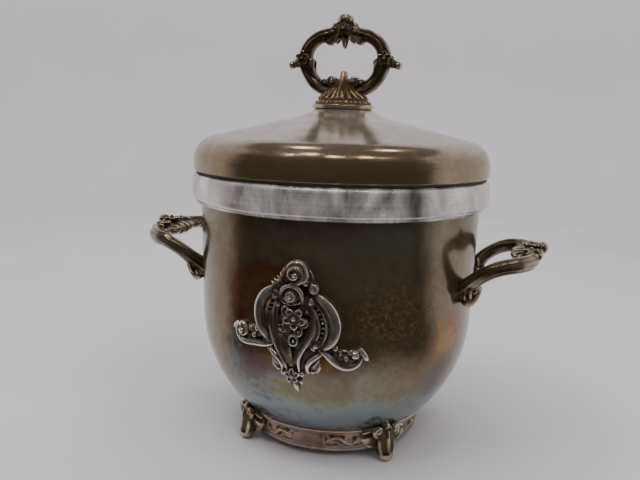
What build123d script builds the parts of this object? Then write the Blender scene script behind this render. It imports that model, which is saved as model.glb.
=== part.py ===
from build123d import *
import os
from math import atan2, cos, degrees, radians, sin, sqrt, tan

# Covered ice bucket in silver plate, standing on a foot ring with four cast feet.
#
# The vessel is a spun shell with a tapering wall and a round bowl. A hollow collar is folded over its rim and
# clamps the flange of the inner liner, with a gasket between. Two cast loop handles are screwed on from inside
# the shell, and a cast cartouche is soldered on the front and on the back. The lid is a spun dome closed by a
# pressed pan, whose plug drops into the liner. A cast loop finial is held by one screw from below.
# The origin is on the table under the middle of the vessel, +Z is up, and the front faces -Y.

# ---------------------------------------------------------------- driving dimensions, millimetres
# vessel
rim_radius = 90.0  # outside of the shell at its rim
waist_radius = 88.0  # outside of the shell where the bowl begins
rim_height = 169.3  # top edge of the shell
waist_height = 82.0  # where the wall turns into the bowl
floor_radius = 46.0  # flat bottom of the bowl
floor_height = 9.0  # underside of the flat bottom
shell_wall = 1.2

# collar
collar_overhang = 5.0  # how far the collar stands out from the rim
collar_height = 17.0  # from its lower edge to its top face
collar_wall = 1.2
collar_top_round = 2.6
collar_foot_round = 3.0
collar_step = 1.8  # small step under the collar, next to the shell
collar_lip_width = 13.5  # top face, from the outer wall inwards

# liner and what holds it
air_gap = 4.4  # between shell and insulation, where the handle screws' heads are
head_pocket = 0.3  # clearance round a screw's head where the insulation comes near
insulation_wall = 5.0
liner_wall = 2.0
flange_wall = 2.0
gasket_wall = 1.5
pad_radius = 36.0

# foot ring and feet
ring_top_radius = 60.0
ring_foot_radius = 54.5
ring_clearance = 4.0  # under the ring's lower edge
ring_wall = 3.0
ring_bead = 1.4
foot_count = 4
toe_overhang = 4.0  # how far the middle of a toe stands out from the ring's top edge
toe_radius = 5.2
toe_sole_radius = 2.6
leg_height = 17.0  # from the table to the middle of the leg's top
leg_width = 25.0
leg_thickness = 4.5

# handles
handle_bar_radius = 4.3
handle_root_spread = 29.0  # from the handle's middle to each root
handle_root_height = 107.3
handle_root_radius = 6.4
handle_reach = 34.0  # from the shell to the middle of the bar
handle_rise = 20.5  # from the roots up to the middle of the bar
handle_half_width = 38.0
handle_knob_radius = 3.3
handle_screw_radius = 2.0
handle_screw_head_radius = 3.6
handle_screw_head = 2.3
handle_screw_bite = 5.5
washer_radius = 4.5
washer_wall = 0.9

# cartouche
cartouche_top = 130.0
cartouche_foot = 54.0
cartouche_half_width = 39.0
cartouche_wall = 3.0

# lid
lid_inset = 0.6  # the lid's edge stands this far inside the collar
lid_gap = 1.7  # from the collar's top face to the lid's edge
lid_edge_height = 6.0  # upright band above the edge
lid_shoulder_rise = 15.0  # height of the rounded shoulder
lid_slope = 13.5  # degrees, of the straight part of the dome
lid_neck_radius = 32.0  # where the slope turns up to the finial
lid_crown_rise = 6.3
crown_inset = 1.4  # how far the lid's flat crown stands inside the finial's base
lid_wall = 1.0
pan_wall = 1.2
plug_depth = 12.0
plug_clearance = 0.8
seal_width = 6.3
seal_clearance = 0.3
lid_foam_gap = 2.5

# finial
finial_base_radius = 19.4
finial_base_height = 11.0
finial_bar_radius = 4.6
finial_half_width = 26.6
finial_loop_foot = 14.5  # lowest point of the loop's middle line above the lid
finial_loop_height = 30.0
finial_end_radius = 11.0  # of the loop's narrow ends, along its middle line
finial_knob_radius = 5.4
finial_knob_rise = 9.0  # from the top of the loop's middle line to the middle of the knob
finial_ball_radius = 2.4
finial_ball_reach = 36.0
finial_screw_radius = 2.5
finial_screw_head_radius = 4.5
finial_screw_head = 3.0
finial_screw_bite = 9.0
finial_washer_radius = 9.0
finial_washer_wall = 1.2

# fits
screw_clearance = 0.1  # all round each screw
seat_clearance = 0.1  # behind a flat washer on the curved wall
fit_gap = 0.05  # between pressed-in pieces

# ---------------------------------------------------------------- sizes that follow
rim_top = rim_height + collar_wall
collar_radius = rim_radius + collar_overhang
collar_foot = rim_top - collar_height
lip_radius = collar_radius - collar_lip_width
insulation_inset = shell_wall + air_gap
liner_inset = insulation_inset + insulation_wall
cavity_inset = liner_inset + liner_wall
flange_top = rim_height - gasket_wall
flange_foot = flange_top - flange_wall
toe_reach = ring_top_radius + toe_overhang
lid_radius = collar_radius - lid_inset
lid_crown_radius = finial_base_radius - crown_inset
lid_edge = rim_top + lid_gap
lid_shoulder = lid_edge + lid_edge_height
lid_slope_radius = lid_radius - lid_shoulder_rise * tan(radians(90 - lid_slope) / 2)
lid_slope_foot = lid_shoulder + lid_shoulder_rise
lid_neck = lid_slope_foot + (lid_slope_radius - lid_neck_radius) * tan(radians(lid_slope))
lid_crown = lid_neck + lid_crown_rise
seal_outer_radius = lid_radius - lid_wall - 2 * seal_clearance
seal_inner_radius = seal_outer_radius - seal_width
pan_flange_foot = lid_edge + 2 * seal_clearance
pan_step_radius = seal_inner_radius - seal_clearance
finial_loop_middle = lid_crown + finial_loop_foot + finial_loop_height / 2
finial_loop_top = lid_crown + finial_loop_foot + finial_loop_height
loop_half_height = finial_loop_height / 2
loop_end_centre = finial_half_width - finial_end_radius
loop_flat_radius = (loop_end_centre**2 + loop_half_height**2 - finial_end_radius**2) / 2
loop_flat_radius = loop_flat_radius / (loop_half_height - finial_end_radius)
loop_flat_turn = degrees(atan2(loop_end_centre, loop_flat_radius - loop_half_height))

wall_lean = abs(rim_radius - waist_radius) / (rim_height - waist_height)


def wall_radius(height):
    """Outside radius of the vessel's tapering wall at a height above the waist."""
    share = (height - waist_height) / (rim_height - waist_height)
    return waist_radius + share * (rim_radius - waist_radius)


level_wall = shell_wall * sqrt(1 + wall_lean**2)  # the shell's wall, measured level
flange_radius = wall_radius(flange_foot) - level_wall - 2 * fit_gap
gasket_radius = wall_radius(flange_top) - level_wall - 2 * fit_gap
plug_radius = wall_radius(pan_flange_foot - plug_depth) - cavity_inset * sqrt(1 + wall_lean**2) - plug_clearance

os.makedirs("parts", exist_ok=True)


def save(piece, label):
    """Names a finished piece and writes it as its own STEP file."""
    piece.label = label
    export_step(piece, f"parts/{label}.step")


def vessel_form(inset, top, skin=0):
    """The vessel's outside form as a solid up to top, taken in by inset all round or grown by skin."""
    with BuildPart() as form:
        with BuildSketch(Plane.XZ):
            with BuildLine():
                wall = Line((wall_radius(top + inset) + skin, top + inset), (waist_radius + skin, waist_height))
                bowl = TangentArc(wall @ 1, (floor_radius, floor_height - skin), tangent=wall % 1)
                Line(bowl @ 1, (0, floor_height - skin))
                Line((0, top + inset), wall @ 0)
                mirror(about=Plane.YZ)
            make_face()
            if inset:
                offset(amount=-inset)
            split(bisect_by=Plane.YZ)
        revolve(axis=Axis.Z)
    return form.part


def lid_form(inset):
    """The lid's outside form as a solid, taken in by inset, with its flat foot at the lid's edge."""
    with BuildPart() as form:
        with BuildSketch(Plane.XZ):
            with BuildLine():
                edge = Line((lid_radius, lid_edge - inset), (lid_radius, lid_shoulder))
                shoulder = TangentArc(edge @ 1, (lid_slope_radius, lid_slope_foot), tangent=edge % 1)
                slope = Line(shoulder @ 1, (lid_neck_radius, lid_neck))
                crown = TangentArc(slope @ 1, (lid_crown_radius, lid_crown), tangent=slope % 1)
                Line(crown @ 1, (0, lid_crown))
                Line((0, lid_edge - inset), edge @ 0)
                mirror(about=Plane.YZ)
            make_face()
            if inset:
                offset(amount=-inset)
            split(bisect_by=Plane.YZ)
        revolve(axis=Axis.Z)
    return form.part


vessel = vessel_form(0, rim_height)

# ---------------------------------------------------------------- fasteners of the handles
root_azimuth = degrees(atan2(handle_root_spread, sqrt(wall_radius(handle_root_height) ** 2 - handle_root_spread**2)))
wall_at_roots = wall_radius(handle_root_height)
washer_seat = sqrt((wall_at_roots - shell_wall) ** 2 - washer_radius**2)
washer_seat = washer_seat - washer_radius * wall_lean - seat_clearance
head_seat = washer_seat - washer_wall
screw_tip = wall_at_roots + handle_screw_bite
root_azimuths = [side + turn for side in (0, 180) for turn in (root_azimuth, -root_azimuth)]


def radial_plane(azimuth, distance, height):
    """A plane that faces away from the axis, at a distance from it."""
    outward = (cos(radians(azimuth)), sin(radians(azimuth)), 0)
    return Plane(origin=(outward[0] * distance, outward[1] * distance, height), z_dir=outward)


with BuildPart() as handle_screws:
    for azimuth in root_azimuths:
        with BuildSketch(radial_plane(azimuth, head_seat, handle_root_height)):
            Circle(handle_screw_head_radius)
        extrude(amount=-handle_screw_head)
        with BuildSketch(radial_plane(azimuth, head_seat, handle_root_height)):
            Circle(handle_screw_radius)
        extrude(amount=screw_tip - head_seat)
save(handle_screws.part, "handle_screws")

with BuildPart() as handle_washers:
    for azimuth in root_azimuths:
        with BuildSketch(radial_plane(azimuth, head_seat, handle_root_height)):
            Circle(washer_radius)
            Circle(handle_screw_radius + screw_clearance, mode=Mode.SUBTRACT)
        extrude(amount=washer_wall)
save(handle_washers.part, "handle_washers")

# ---------------------------------------------------------------- vessel
with BuildPart() as body_shell:
    add(vessel)
    add(vessel_form(shell_wall, rim_height), mode=Mode.SUBTRACT)
    for azimuth in root_azimuths:
        with BuildSketch(radial_plane(azimuth, wall_at_roots - 2 * shell_wall, handle_root_height)):
            Circle(handle_screw_radius + screw_clearance)
        extrude(amount=3 * shell_wall, mode=Mode.SUBTRACT)
save(body_shell.part, "body_shell")

with BuildPart() as collar_band:
    with BuildSketch(Plane.XZ):
        with BuildLine():
            FilletPolyline(
                (lip_radius, rim_top),
                (collar_radius, rim_top),
                (collar_radius, collar_foot),
                (rim_radius + collar_step, collar_foot),
                radius=[collar_top_round, collar_foot_round],
            )
            offset(amount=collar_wall, side=Side.RIGHT)
        make_face()
        with Locations((rim_radius, collar_foot)):
            Rectangle(
                collar_step + collar_wall,
                collar_wall + collar_step,
                align=(Align.MIN, Align.CENTER),
            )
    revolve(axis=Axis.Z)
    add(vessel, mode=Mode.SUBTRACT)
save(collar_band.part, "collar_band")

with BuildPart() as inner_liner:
    add(vessel_form(liner_inset, flange_top))
    with BuildSketch(Plane.XY.offset(flange_foot)):
        Circle(flange_radius)
    extrude(amount=flange_wall)
    add(vessel_form(cavity_inset, flange_top), mode=Mode.SUBTRACT)
save(inner_liner.part, "inner_liner")

with BuildPart() as rim_gasket:
    with BuildSketch(Plane.XY.offset(flange_top)):
        Circle(gasket_radius)
        Circle(lip_radius, mode=Mode.SUBTRACT)
    extrude(amount=gasket_wall)
save(rim_gasket.part, "rim_gasket")

with BuildPart() as liner_insulation:
    add(vessel_form(insulation_inset, flange_foot))
    add(vessel_form(liner_inset, flange_foot), mode=Mode.SUBTRACT)
    for azimuth in root_azimuths:
        with BuildSketch(radial_plane(azimuth, head_seat, handle_root_height)):
            Circle(washer_radius + head_pocket)
        extrude(amount=-handle_screw_head - head_pocket, mode=Mode.SUBTRACT)
save(liner_insulation.part, "liner_insulation")

with BuildPart() as liner_pad:
    with BuildSketch(Plane.XY.offset(floor_height + shell_wall)):
        Circle(min(pad_radius, floor_radius - insulation_inset))
    extrude(amount=air_gap)
save(liner_pad.part, "liner_pad")

# ---------------------------------------------------------------- foot ring and feet
ring_top = floor_height + (ring_top_radius - floor_radius) + ring_wall  # reaches into the bowl before it is cut

with BuildPart() as foot_ring:
    with BuildSketch(Plane.XZ):
        with BuildLine():
            Polyline(
                (ring_foot_radius - ring_wall, ring_clearance),
                (ring_foot_radius, ring_clearance),
                (ring_top_radius, ring_top),
                (ring_top_radius - ring_wall, ring_top),
                close=True,
            )
        make_face()
        with Locations((ring_foot_radius, ring_clearance + ring_bead)):
            Circle(ring_bead)
    revolve(axis=Axis.Z)
    add(vessel, mode=Mode.SUBTRACT)
save(foot_ring.part, "foot_ring")

leg_root_radius = ring_foot_radius + (ring_top_radius - ring_foot_radius) * leg_height / ring_top
with BuildPart() as foot:
    with BuildSketch(Plane.YZ.offset(leg_root_radius - ring_wall / 2)):
        with Locations((0, leg_height - leg_thickness)):
            Ellipse(leg_width / 2, leg_thickness)
    with BuildSketch(Plane(origin=(toe_reach, 0, 2 * toe_radius), z_dir=(1, 0, -1))):
        Circle(toe_radius)
    loft()
    with Locations((toe_reach, 0, toe_radius)):
        Sphere(toe_radius)
    with Locations((toe_reach, 0, 0)):
        Cylinder(toe_sole_radius, toe_radius, align=(Align.CENTER, Align.CENTER, Align.MIN))
    split(bisect_by=Plane.XY)
    add(foot_ring.part, mode=Mode.SUBTRACT)
    add(vessel, mode=Mode.SUBTRACT)
foot_names = ["foot_rear_right", "foot_rear_left", "foot_front_left", "foot_front_right"]
for number, name in enumerate(foot_names):
    azimuth = 45 + number * 360 / foot_count
    save(foot.part.rotate(Axis.Z, azimuth), name)

# ---------------------------------------------------------------- handles
root_distance = sqrt(wall_at_roots**2 - handle_root_spread**2)
bar_distance = wall_at_roots + handle_reach
bar_height = handle_root_height + handle_rise
half_bar = [
    (root_distance, handle_root_spread, handle_root_height),
    (root_distance + 0.34 * handle_reach, handle_half_width, handle_root_height + 0.6 * handle_rise),
    (bar_distance - 0.24 * handle_reach, handle_half_width - 1.5, handle_root_height + 0.92 * handle_rise),
    (bar_distance, 0.6 * handle_half_width, bar_height - 1.5),
]
middle_of_bar = (bar_distance, 0, bar_height)
knob_centre = (bar_distance + 1.6 * handle_bar_radius, 0, bar_height + handle_bar_radius)

with BuildPart() as handle_right:
    with BuildLine():
        other_half = [(x, -y, z) for x, y, z in reversed(half_bar)]
        bar_path = Spline(*half_bar, middle_of_bar, *other_half)
    with BuildSketch(Plane(origin=bar_path @ 0, z_dir=bar_path % 0)):
        Circle(handle_bar_radius)
    sweep()
    with Locations(half_bar[0], other_half[-1]):
        Sphere(handle_root_radius)
    with Locations(knob_centre):
        Sphere(handle_knob_radius)
    with Locations(Plane(origin=middle_of_bar, z_dir=(1, 0, 0.5))):
        Cylinder(handle_bar_radius, 2.4 * handle_bar_radius)
    add(vessel, mode=Mode.SUBTRACT)
    for turn in (root_azimuth, -root_azimuth):
        with BuildSketch(radial_plane(turn, wall_at_roots - shell_wall, handle_root_height)):
            Circle(handle_screw_radius + screw_clearance)
        extrude(amount=handle_screw_bite + shell_wall + screw_clearance, mode=Mode.SUBTRACT)
save(handle_right.part, "handle_right")
save(handle_right.part.rotate(Axis.Z, 180), "handle_left")

# ---------------------------------------------------------------- cartouches
cartouche_height = cartouche_top - cartouche_foot
cartouche_edge = [  # share of the half width, share of the height, from the top down the right side
    (0.18, 0.97),
    (0.34, 0.84),
    (0.62, 0.78),
    (0.80, 0.62),
    (0.72, 0.44),
    (0.98, 0.38),
    (0.94, 0.29),
    (0.55, 0.29),
    (0.30, 0.14),
]
with BuildPart() as cartouche_front:
    with BuildSketch(Plane.XZ):
        with BuildLine():
            right_edge = [
                (across * cartouche_half_width, cartouche_foot + up * cartouche_height)
                for across, up in cartouche_edge
            ]
            Spline((0, cartouche_top), *right_edge, (0, cartouche_foot))
            mirror(about=Plane.YZ)
        make_face()
    extrude(amount=2 * rim_radius)
    add(vessel_form(0, rim_height, cartouche_wall), mode=Mode.INTERSECT)
    add(vessel, mode=Mode.SUBTRACT)
save(cartouche_front.part, "cartouche_front")
save(cartouche_front.part.rotate(Axis.Z, 180), "cartouche_rear")

# ---------------------------------------------------------------- lid
with BuildPart() as lid_shell:
    add(lid_form(0))
    add(lid_form(lid_wall), mode=Mode.SUBTRACT)
    with BuildSketch(Plane.XY.offset(lid_crown - 2 * lid_wall)):
        Circle(finial_screw_radius + screw_clearance)
    extrude(amount=3 * lid_wall, mode=Mode.SUBTRACT)
save(lid_shell.part, "lid_shell")

with BuildPart() as lid_pan:
    with BuildSketch(Plane.XZ):
        with BuildLine():
            Polyline(
                (0, pan_flange_foot - plug_depth),
                (plug_radius, pan_flange_foot - plug_depth),
                (plug_radius, rim_top + seal_clearance),
                (pan_step_radius, rim_top + seal_clearance),
                (pan_step_radius, pan_flange_foot),
                (lid_radius - lid_wall - fit_gap, pan_flange_foot),
            )
            offset(amount=pan_wall, side=Side.LEFT)
        make_face()
    revolve(axis=Axis.Z)
save(lid_pan.part, "lid_pan")

with BuildPart() as lid_seal:
    with BuildSketch(Plane.XY.offset(rim_top + seal_clearance)):
        Circle(seal_outer_radius)
        Circle(seal_inner_radius, mode=Mode.SUBTRACT)
    extrude(amount=pan_flange_foot - rim_top - seal_clearance)
save(lid_seal.part, "lid_seal")

foam_foot = pan_flange_foot + pan_wall
with BuildPart() as lid_insulation:
    add(lid_form(lid_wall + lid_foam_gap))
    with BuildSketch(Plane.XY):
        Circle(2 * lid_radius)
    extrude(amount=foam_foot, mode=Mode.SUBTRACT)
    with BuildSketch(Plane.XY.offset(foam_foot)):
        Circle(finial_washer_radius + lid_foam_gap)
    extrude(amount=lid_crown, mode=Mode.SUBTRACT)
save(lid_insulation.part, "lid_insulation")

# ---------------------------------------------------------------- finial
with BuildPart() as finial:
    with BuildSketch(Plane.XZ):
        with BuildLine():
            foot_line = Line((0, lid_crown), (finial_base_radius, lid_crown))
            bead = Line(foot_line @ 1, (finial_base_radius, lid_crown + 0.3 * finial_base_height))
            waist = (0.72 * finial_base_radius, lid_crown + finial_base_height)
            bell = TangentArc(waist, bead @ 1, tangent=(0, -1))
            Polyline(waist, (0, lid_crown + 1.6 * finial_base_height), (0, lid_crown))
        make_face()
    revolve(axis=Axis.Z)
    with BuildLine(Plane.XZ):
        flat = JernArc((0, finial_loop_top), (1, 0), loop_flat_radius, -loop_flat_turn)
        end = JernArc(flat @ 1, flat % 1, finial_end_radius, 2 * loop_flat_turn - 180)
        JernArc(end @ 1, end % 1, loop_flat_radius, -loop_flat_turn)
        mirror(about=Plane.YZ)
    with BuildSketch(Plane.YZ):
        with Locations((0, finial_loop_top)):
            Circle(finial_bar_radius)
    sweep()
    with Locations((0, 0, finial_loop_top + finial_knob_rise)):
        Sphere(finial_knob_radius)
    for side in (1, -1):
        with Locations((side * finial_ball_reach, 0, finial_loop_middle)):
            Sphere(finial_ball_radius)
        with Locations(Plane(origin=(side * finial_half_width, 0, finial_loop_middle), z_dir=(side, 0, 0))):
            Cone(
                finial_bar_radius - 1,
                0.7 * finial_ball_radius,
                finial_ball_reach - finial_half_width,
                align=(Align.CENTER, Align.CENTER, Align.MIN),
            )
    with BuildSketch(Plane.XY.offset(lid_crown)):
        Circle(finial_screw_radius + screw_clearance)
    extrude(amount=finial_screw_bite + screw_clearance, mode=Mode.SUBTRACT)
save(finial.part, "finial")

washer_top = lid_crown - lid_wall
with BuildPart() as finial_washer:
    with BuildSketch(Plane.XY.offset(washer_top - finial_washer_wall)):
        Circle(finial_washer_radius)
        Circle(finial_screw_radius + screw_clearance, mode=Mode.SUBTRACT)
    extrude(amount=finial_washer_wall)
save(finial_washer.part, "finial_washer")

with BuildPart() as finial_screw:
    with BuildSketch(Plane.XY.offset(washer_top - finial_washer_wall)):
        Circle(finial_screw_head_radius)
    extrude(amount=-finial_screw_head)
    with BuildSketch(Plane.XY.offset(washer_top - finial_washer_wall)):
        Circle(finial_screw_radius)
    extrude(amount=finial_washer_wall + lid_wall + finial_screw_bite)
save(finial_screw.part, "finial_screw")
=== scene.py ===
"""Covered, footed ice bucket in silver plate: the looks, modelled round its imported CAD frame.

Every visible piece stands in metres in the frame of the CAD model, +Z up, with the front facing -Y. Sizes
are given in millimetres in each sub-assembly's fields, and come from the CAD nodes' own boxes wherever a node
has them.
"""

import logging
import math
from dataclasses import dataclass
from enum import Enum
from itertools import pairwise
from typing import Callable, Sequence

import bpy
import numpy as np
from mathutils import Matrix, Vector


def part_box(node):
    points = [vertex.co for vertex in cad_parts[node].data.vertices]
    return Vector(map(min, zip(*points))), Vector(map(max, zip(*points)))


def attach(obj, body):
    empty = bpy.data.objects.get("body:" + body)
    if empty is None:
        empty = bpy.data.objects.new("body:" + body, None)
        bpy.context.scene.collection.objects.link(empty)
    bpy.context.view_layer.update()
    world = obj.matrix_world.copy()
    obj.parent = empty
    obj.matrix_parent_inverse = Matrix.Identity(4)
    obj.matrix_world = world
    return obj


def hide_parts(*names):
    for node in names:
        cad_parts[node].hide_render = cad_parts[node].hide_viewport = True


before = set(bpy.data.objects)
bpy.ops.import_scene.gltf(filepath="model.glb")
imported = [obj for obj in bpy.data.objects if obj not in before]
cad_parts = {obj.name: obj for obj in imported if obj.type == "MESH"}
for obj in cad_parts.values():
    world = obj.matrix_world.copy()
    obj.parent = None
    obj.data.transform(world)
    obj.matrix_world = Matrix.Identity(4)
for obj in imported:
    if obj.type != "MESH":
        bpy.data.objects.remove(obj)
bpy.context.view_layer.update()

LOG = logging.getLogger("ice_bucket")
MM = 0.001
SHARP = 35.0  # degrees: an edge that turns more than this stays crisp
ON_AXIS = 1e-6  # mm: a point nearer to the axis than this is on it
Point = tuple[float, float, float]
Mapping = Callable[[np.ndarray], np.ndarray]


class Body(Enum):
    """The bodies that the pieces ride on."""

    BUCKET = "bucket"
    LID = "lid"


class Slot(Enum):
    """The material slots' names that the new pieces are handed over with."""

    TARNISHED = "tarnished_silver_plate"
    BRIGHT = "bright_silver_plate"
    CASTING = "antiqued_casting"


# ------------------------------------------------------------------------------------------ the bench


@dataclass(frozen=True)
class Extent:
    """The box of one CAD node at rest, in millimetres."""

    low: Vector
    high: Vector

    @classmethod
    def of(cls, node: str) -> "Extent":
        """Reads the box of a CAD node.

        Args:
            node: The node's name.

        Returns:
            Its lowest and highest corners in millimetres.
        """
        low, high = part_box(node)
        return cls(low / MM, high / MM)


def pick(*pieces: bpy.types.Object) -> None:
    """Selects these pieces and nothing else, and makes the first one active.

    Args:
        pieces: The pieces to select.
    """
    bpy.ops.object.select_all(action="DESELECT")
    for piece in pieces:
        piece.select_set(True)
    bpy.context.view_layer.objects.active = pieces[0]


def settle(piece: bpy.types.Object) -> None:
    """Moves a piece's place, turn and scale into its mesh."""
    pick(piece)
    bpy.ops.object.transform_apply(location=True, rotation=True, scale=True)


def apply_modifier(piece: bpy.types.Object, kind: str, **settings: object) -> None:
    """Adds one modifier to a piece and applies it.

    Args:
        piece: The piece to work on.
        kind: Blender's name for the modifier's type.
        settings: The modifier's own settings.
    """
    pick(piece)
    modifier = piece.modifiers.new(kind.lower(), kind)
    for name, value in settings.items():
        setattr(modifier, name, value)
    bpy.ops.object.modifier_apply(modifier=modifier.name)


def join(pieces: Sequence[bpy.types.Object]) -> bpy.types.Object:
    """Joins several meshes into the first one.

    Args:
        pieces: The meshes to join.

    Returns:
        The joined piece.
    """
    pick(*pieces)
    if len(pieces) > 1:
        bpy.ops.object.join()
    return bpy.context.object


def copy_of(piece: bpy.types.Object) -> bpy.types.Object:
    """Copies a piece with its own mesh.

    Args:
        piece: The piece to copy.

    Returns:
        The copy.
    """
    twin = piece.copy()
    twin.data = piece.data.copy()
    bpy.context.scene.collection.objects.link(twin)
    return twin


def mirrored(piece: bpy.types.Object, flip: Point) -> bpy.types.Object:
    """Copies a piece as its mirror image, with its faces still outwards.

    Args:
        piece: The piece to copy.
        flip: -1 along the axis that is turned round, and 1 along the others.

    Returns:
        The mirror image.
    """
    twin = copy_of(piece)
    twin.scale = flip
    settle(twin)
    twin.data.flip_normals()
    return twin


def turn_about_axis(piece: bpy.types.Object, degrees: float) -> bpy.types.Object:
    """Turns a piece's mesh about the vessel's axis.

    Args:
        piece: The piece to turn.
        degrees: The angle, positive from +X towards +Y.

    Returns:
        The same piece.
    """
    piece.rotation_euler = (0.0, 0.0, math.radians(degrees))
    settle(piece)
    return piece


def points_of(piece: bpy.types.Object) -> np.ndarray:
    """Reads a mesh's points.

    Args:
        piece: The mesh.

    Returns:
        The points in millimetres, one row each.
    """
    flat = np.empty(len(piece.data.vertices) * 3)
    piece.data.vertices.foreach_get("co", flat)
    return flat.reshape(-1, 3) / MM


def put_points(piece: bpy.types.Object, points: np.ndarray) -> None:
    """Writes a mesh's points, given in millimetres."""
    piece.data.vertices.foreach_set("co", (points * MM).ravel())
    piece.data.update()


def mark_relief(piece: bpy.types.Object, rounds: int = 60, full: float = 0.7) -> None:
    """Stores on each point how far it stands above its smoothed surroundings.

    The attribute is called relief: 0 in a hollow, 0.5 on a flat and 1 on a high place that polishing reaches.

    Args:
        piece: A casting whose skin is already fused.
        rounds: How many times the surroundings are averaged.
        full: The height in millimetres that counts as fully high.
    """
    mesh = piece.data
    count = len(mesh.vertices)
    edges = np.empty(len(mesh.edges) * 2, int)
    mesh.edges.foreach_get("vertices", edges)
    start, end = edges[0::2], edges[1::2]
    here = np.concatenate([start, end])
    there = np.concatenate([end, start])
    neighbours = np.maximum(np.bincount(here, minlength=count), 1)
    points = points_of(piece)
    smooth = points.copy()
    for _ in range(rounds):
        for axis in range(3):
            smooth[:, axis] = np.bincount(here, weights=smooth[there, axis], minlength=count) / neighbours
    normals = np.empty(count * 3)
    mesh.vertices.foreach_get("normal", normals)
    height = ((points - smooth) * normals.reshape(-1, 3)).sum(axis=1)
    attribute = mesh.attributes.new("relief", "FLOAT", "POINT")
    attribute.data.foreach_set("value", np.clip(0.5 + 0.5 * height / full, 0.0, 1.0))


def hand_over(
    piece: bpy.types.Object,
    name: str,
    body: Body,
    slot: Slot,
    material: bpy.types.Material,
    *stands_for: str,
) -> None:
    """Names a finished piece, dresses it and hangs it on its body.

    Args:
        piece: The finished mesh.
        name: The piece's name.
        body: The body that it moves with.
        slot: Not used.
        material: Its material.
        stands_for: The CAD nodes that it replaces.
    """
    piece.name = name
    piece.data.name = name
    piece.data.materials.clear()
    piece.data.materials.append(material)
    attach(piece, body.value)
    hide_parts(*stands_for)
    LOG.info("%s: %d faces, %s", name, len(piece.data.polygons), material.name)


# ------------------------------------------------------------------------------------------ turned pieces


class Outline:
    """Half of a turned piece's section, drawn as radius and height in millimetres."""

    def __init__(self, radius: float, height: float) -> None:
        """Starts the outline.

        Args:
            radius: The first point's distance from the axis.
            height: The first point's height.
        """
        self.points: list[tuple[float, float]] = [(radius, height)]
        self.heading = (1.0, 0.0)

    def line(self, radius: float, height: float, spans: int = 1) -> "Outline":
        """Draws a straight stretch.

        Args:
            radius: The end's distance from the axis.
            height: The end's height.
            spans: How many equal stretches it is cut into.

        Returns:
            The outline.
        """
        r0, h0 = self.points[-1]
        length = math.hypot(radius - r0, height - h0)
        self.heading = ((radius - r0) / length, (height - h0) / length)
        for k in range(1, spans + 1):
            share = k / spans
            self.points.append((r0 + (radius - r0) * share, h0 + (height - h0) * share))
        return self

    def sweep(self, radius: float, height: float, spans: int = 8) -> "Outline":
        """Draws an arc that carries on from the last stretch without a corner.

        Args:
            radius: The end's distance from the axis.
            height: The end's height.
            spans: How many chords it is drawn with.

        Returns:
            The outline.
        """
        r0, h0 = self.points[-1]
        tr, th = self.heading
        dr, dh = radius - r0, height - h0
        across = -th * dr + tr * dh
        bow = (dr * dr + dh * dh) / (2 * across)
        centre = (r0 - th * bow, h0 + tr * bow)
        first = math.atan2(h0 - centre[1], r0 - centre[0])
        turn = 2 * math.atan2(across, tr * dr + th * dh)
        for k in range(1, spans + 1):
            angle = first + turn * k / spans
            reach, rise = abs(bow) * math.cos(angle), abs(bow) * math.sin(angle)
            self.points.append((centre[0] + reach, centre[1] + rise))
        cosine, sine = math.cos(turn), math.sin(turn)
        self.heading = (tr * cosine - th * sine, tr * sine + th * cosine)
        return self

    def thickened(self, wall: float) -> "Outline":
        """Gives the outline a second face, so that it bounds a sheet.

        Args:
            wall: The sheet's thickness, to the right of the way that the outline runs.

        Returns:
            A closed outline, or one that begins and ends on the axis where this one ends there.
        """
        path = self.points
        inner = []
        for k, (radius, height) in enumerate(path):
            before, after = path[max(k - 1, 0)], path[min(k + 1, len(path) - 1)]
            dr, dh = after[0] - before[0], after[1] - before[1]
            length = math.hypot(dr, dh)
            inner.append((max(radius + wall * dh / length, 0.0), height - wall * dr / length))
        on_axis = path[-1][0] < ON_AXIS
        if on_axis:
            inner[-1] = (0.0, inner[-2][1])
        both = Outline(*inner[-1])
        both.points = inner[::-1] + path
        if not on_axis:
            both.points.append(inner[-1])
        return both


def turned(outline: Outline, steps: int = 160) -> bpy.types.Object:
    """Raises a turned piece from a ring of points, by extruding and resizing it along an outline.

    An outline that ends where it began makes a closed ring, and one that meets the axis is closed there.

    Args:
        outline: The section, which runs anticlockwise so that the faces point outwards.
        steps: How many points go round.

    Returns:
        The piece, shaded smooth.
    """
    points = list(outline.points)
    starts_on_axis = points[0][0] < ON_AXIS
    if starts_on_axis:
        points = points[1:]
    radius, height = points[0]
    bpy.ops.object.select_all(action="DESELECT")
    bpy.ops.mesh.primitive_circle_add(
        vertices=steps,
        radius=radius * MM,
        location=(0.0, 0.0, height * MM),
        fill_type="TRIFAN" if starts_on_axis else "NOTHING",
    )
    piece = bpy.context.object
    settle(piece)
    bpy.ops.object.mode_set(mode="EDIT")
    bpy.ops.mesh.select_all(action="SELECT")
    if starts_on_axis:
        bpy.ops.mesh.region_to_loop()
    for (r0, h0), (r1, h1) in pairwise(points):
        bpy.ops.mesh.extrude_edges_move(TRANSFORM_OT_translate={"value": (0.0, 0.0, (h1 - h0) * MM)})
        bpy.ops.transform.resize(value=(r1 / r0, r1 / r0, 1.0), center_override=(0.0, 0.0, 0.0))
    bpy.ops.mesh.select_all(action="SELECT")
    bpy.ops.mesh.remove_doubles(threshold=0.002 * MM)
    bpy.ops.mesh.normals_make_consistent(inside=False)
    bpy.ops.object.mode_set(mode="OBJECT")
    bpy.ops.object.shade_smooth_by_angle(angle=math.radians(SHARP))
    return piece


# ------------------------------------------------------------------------------------------ cast pieces


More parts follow.
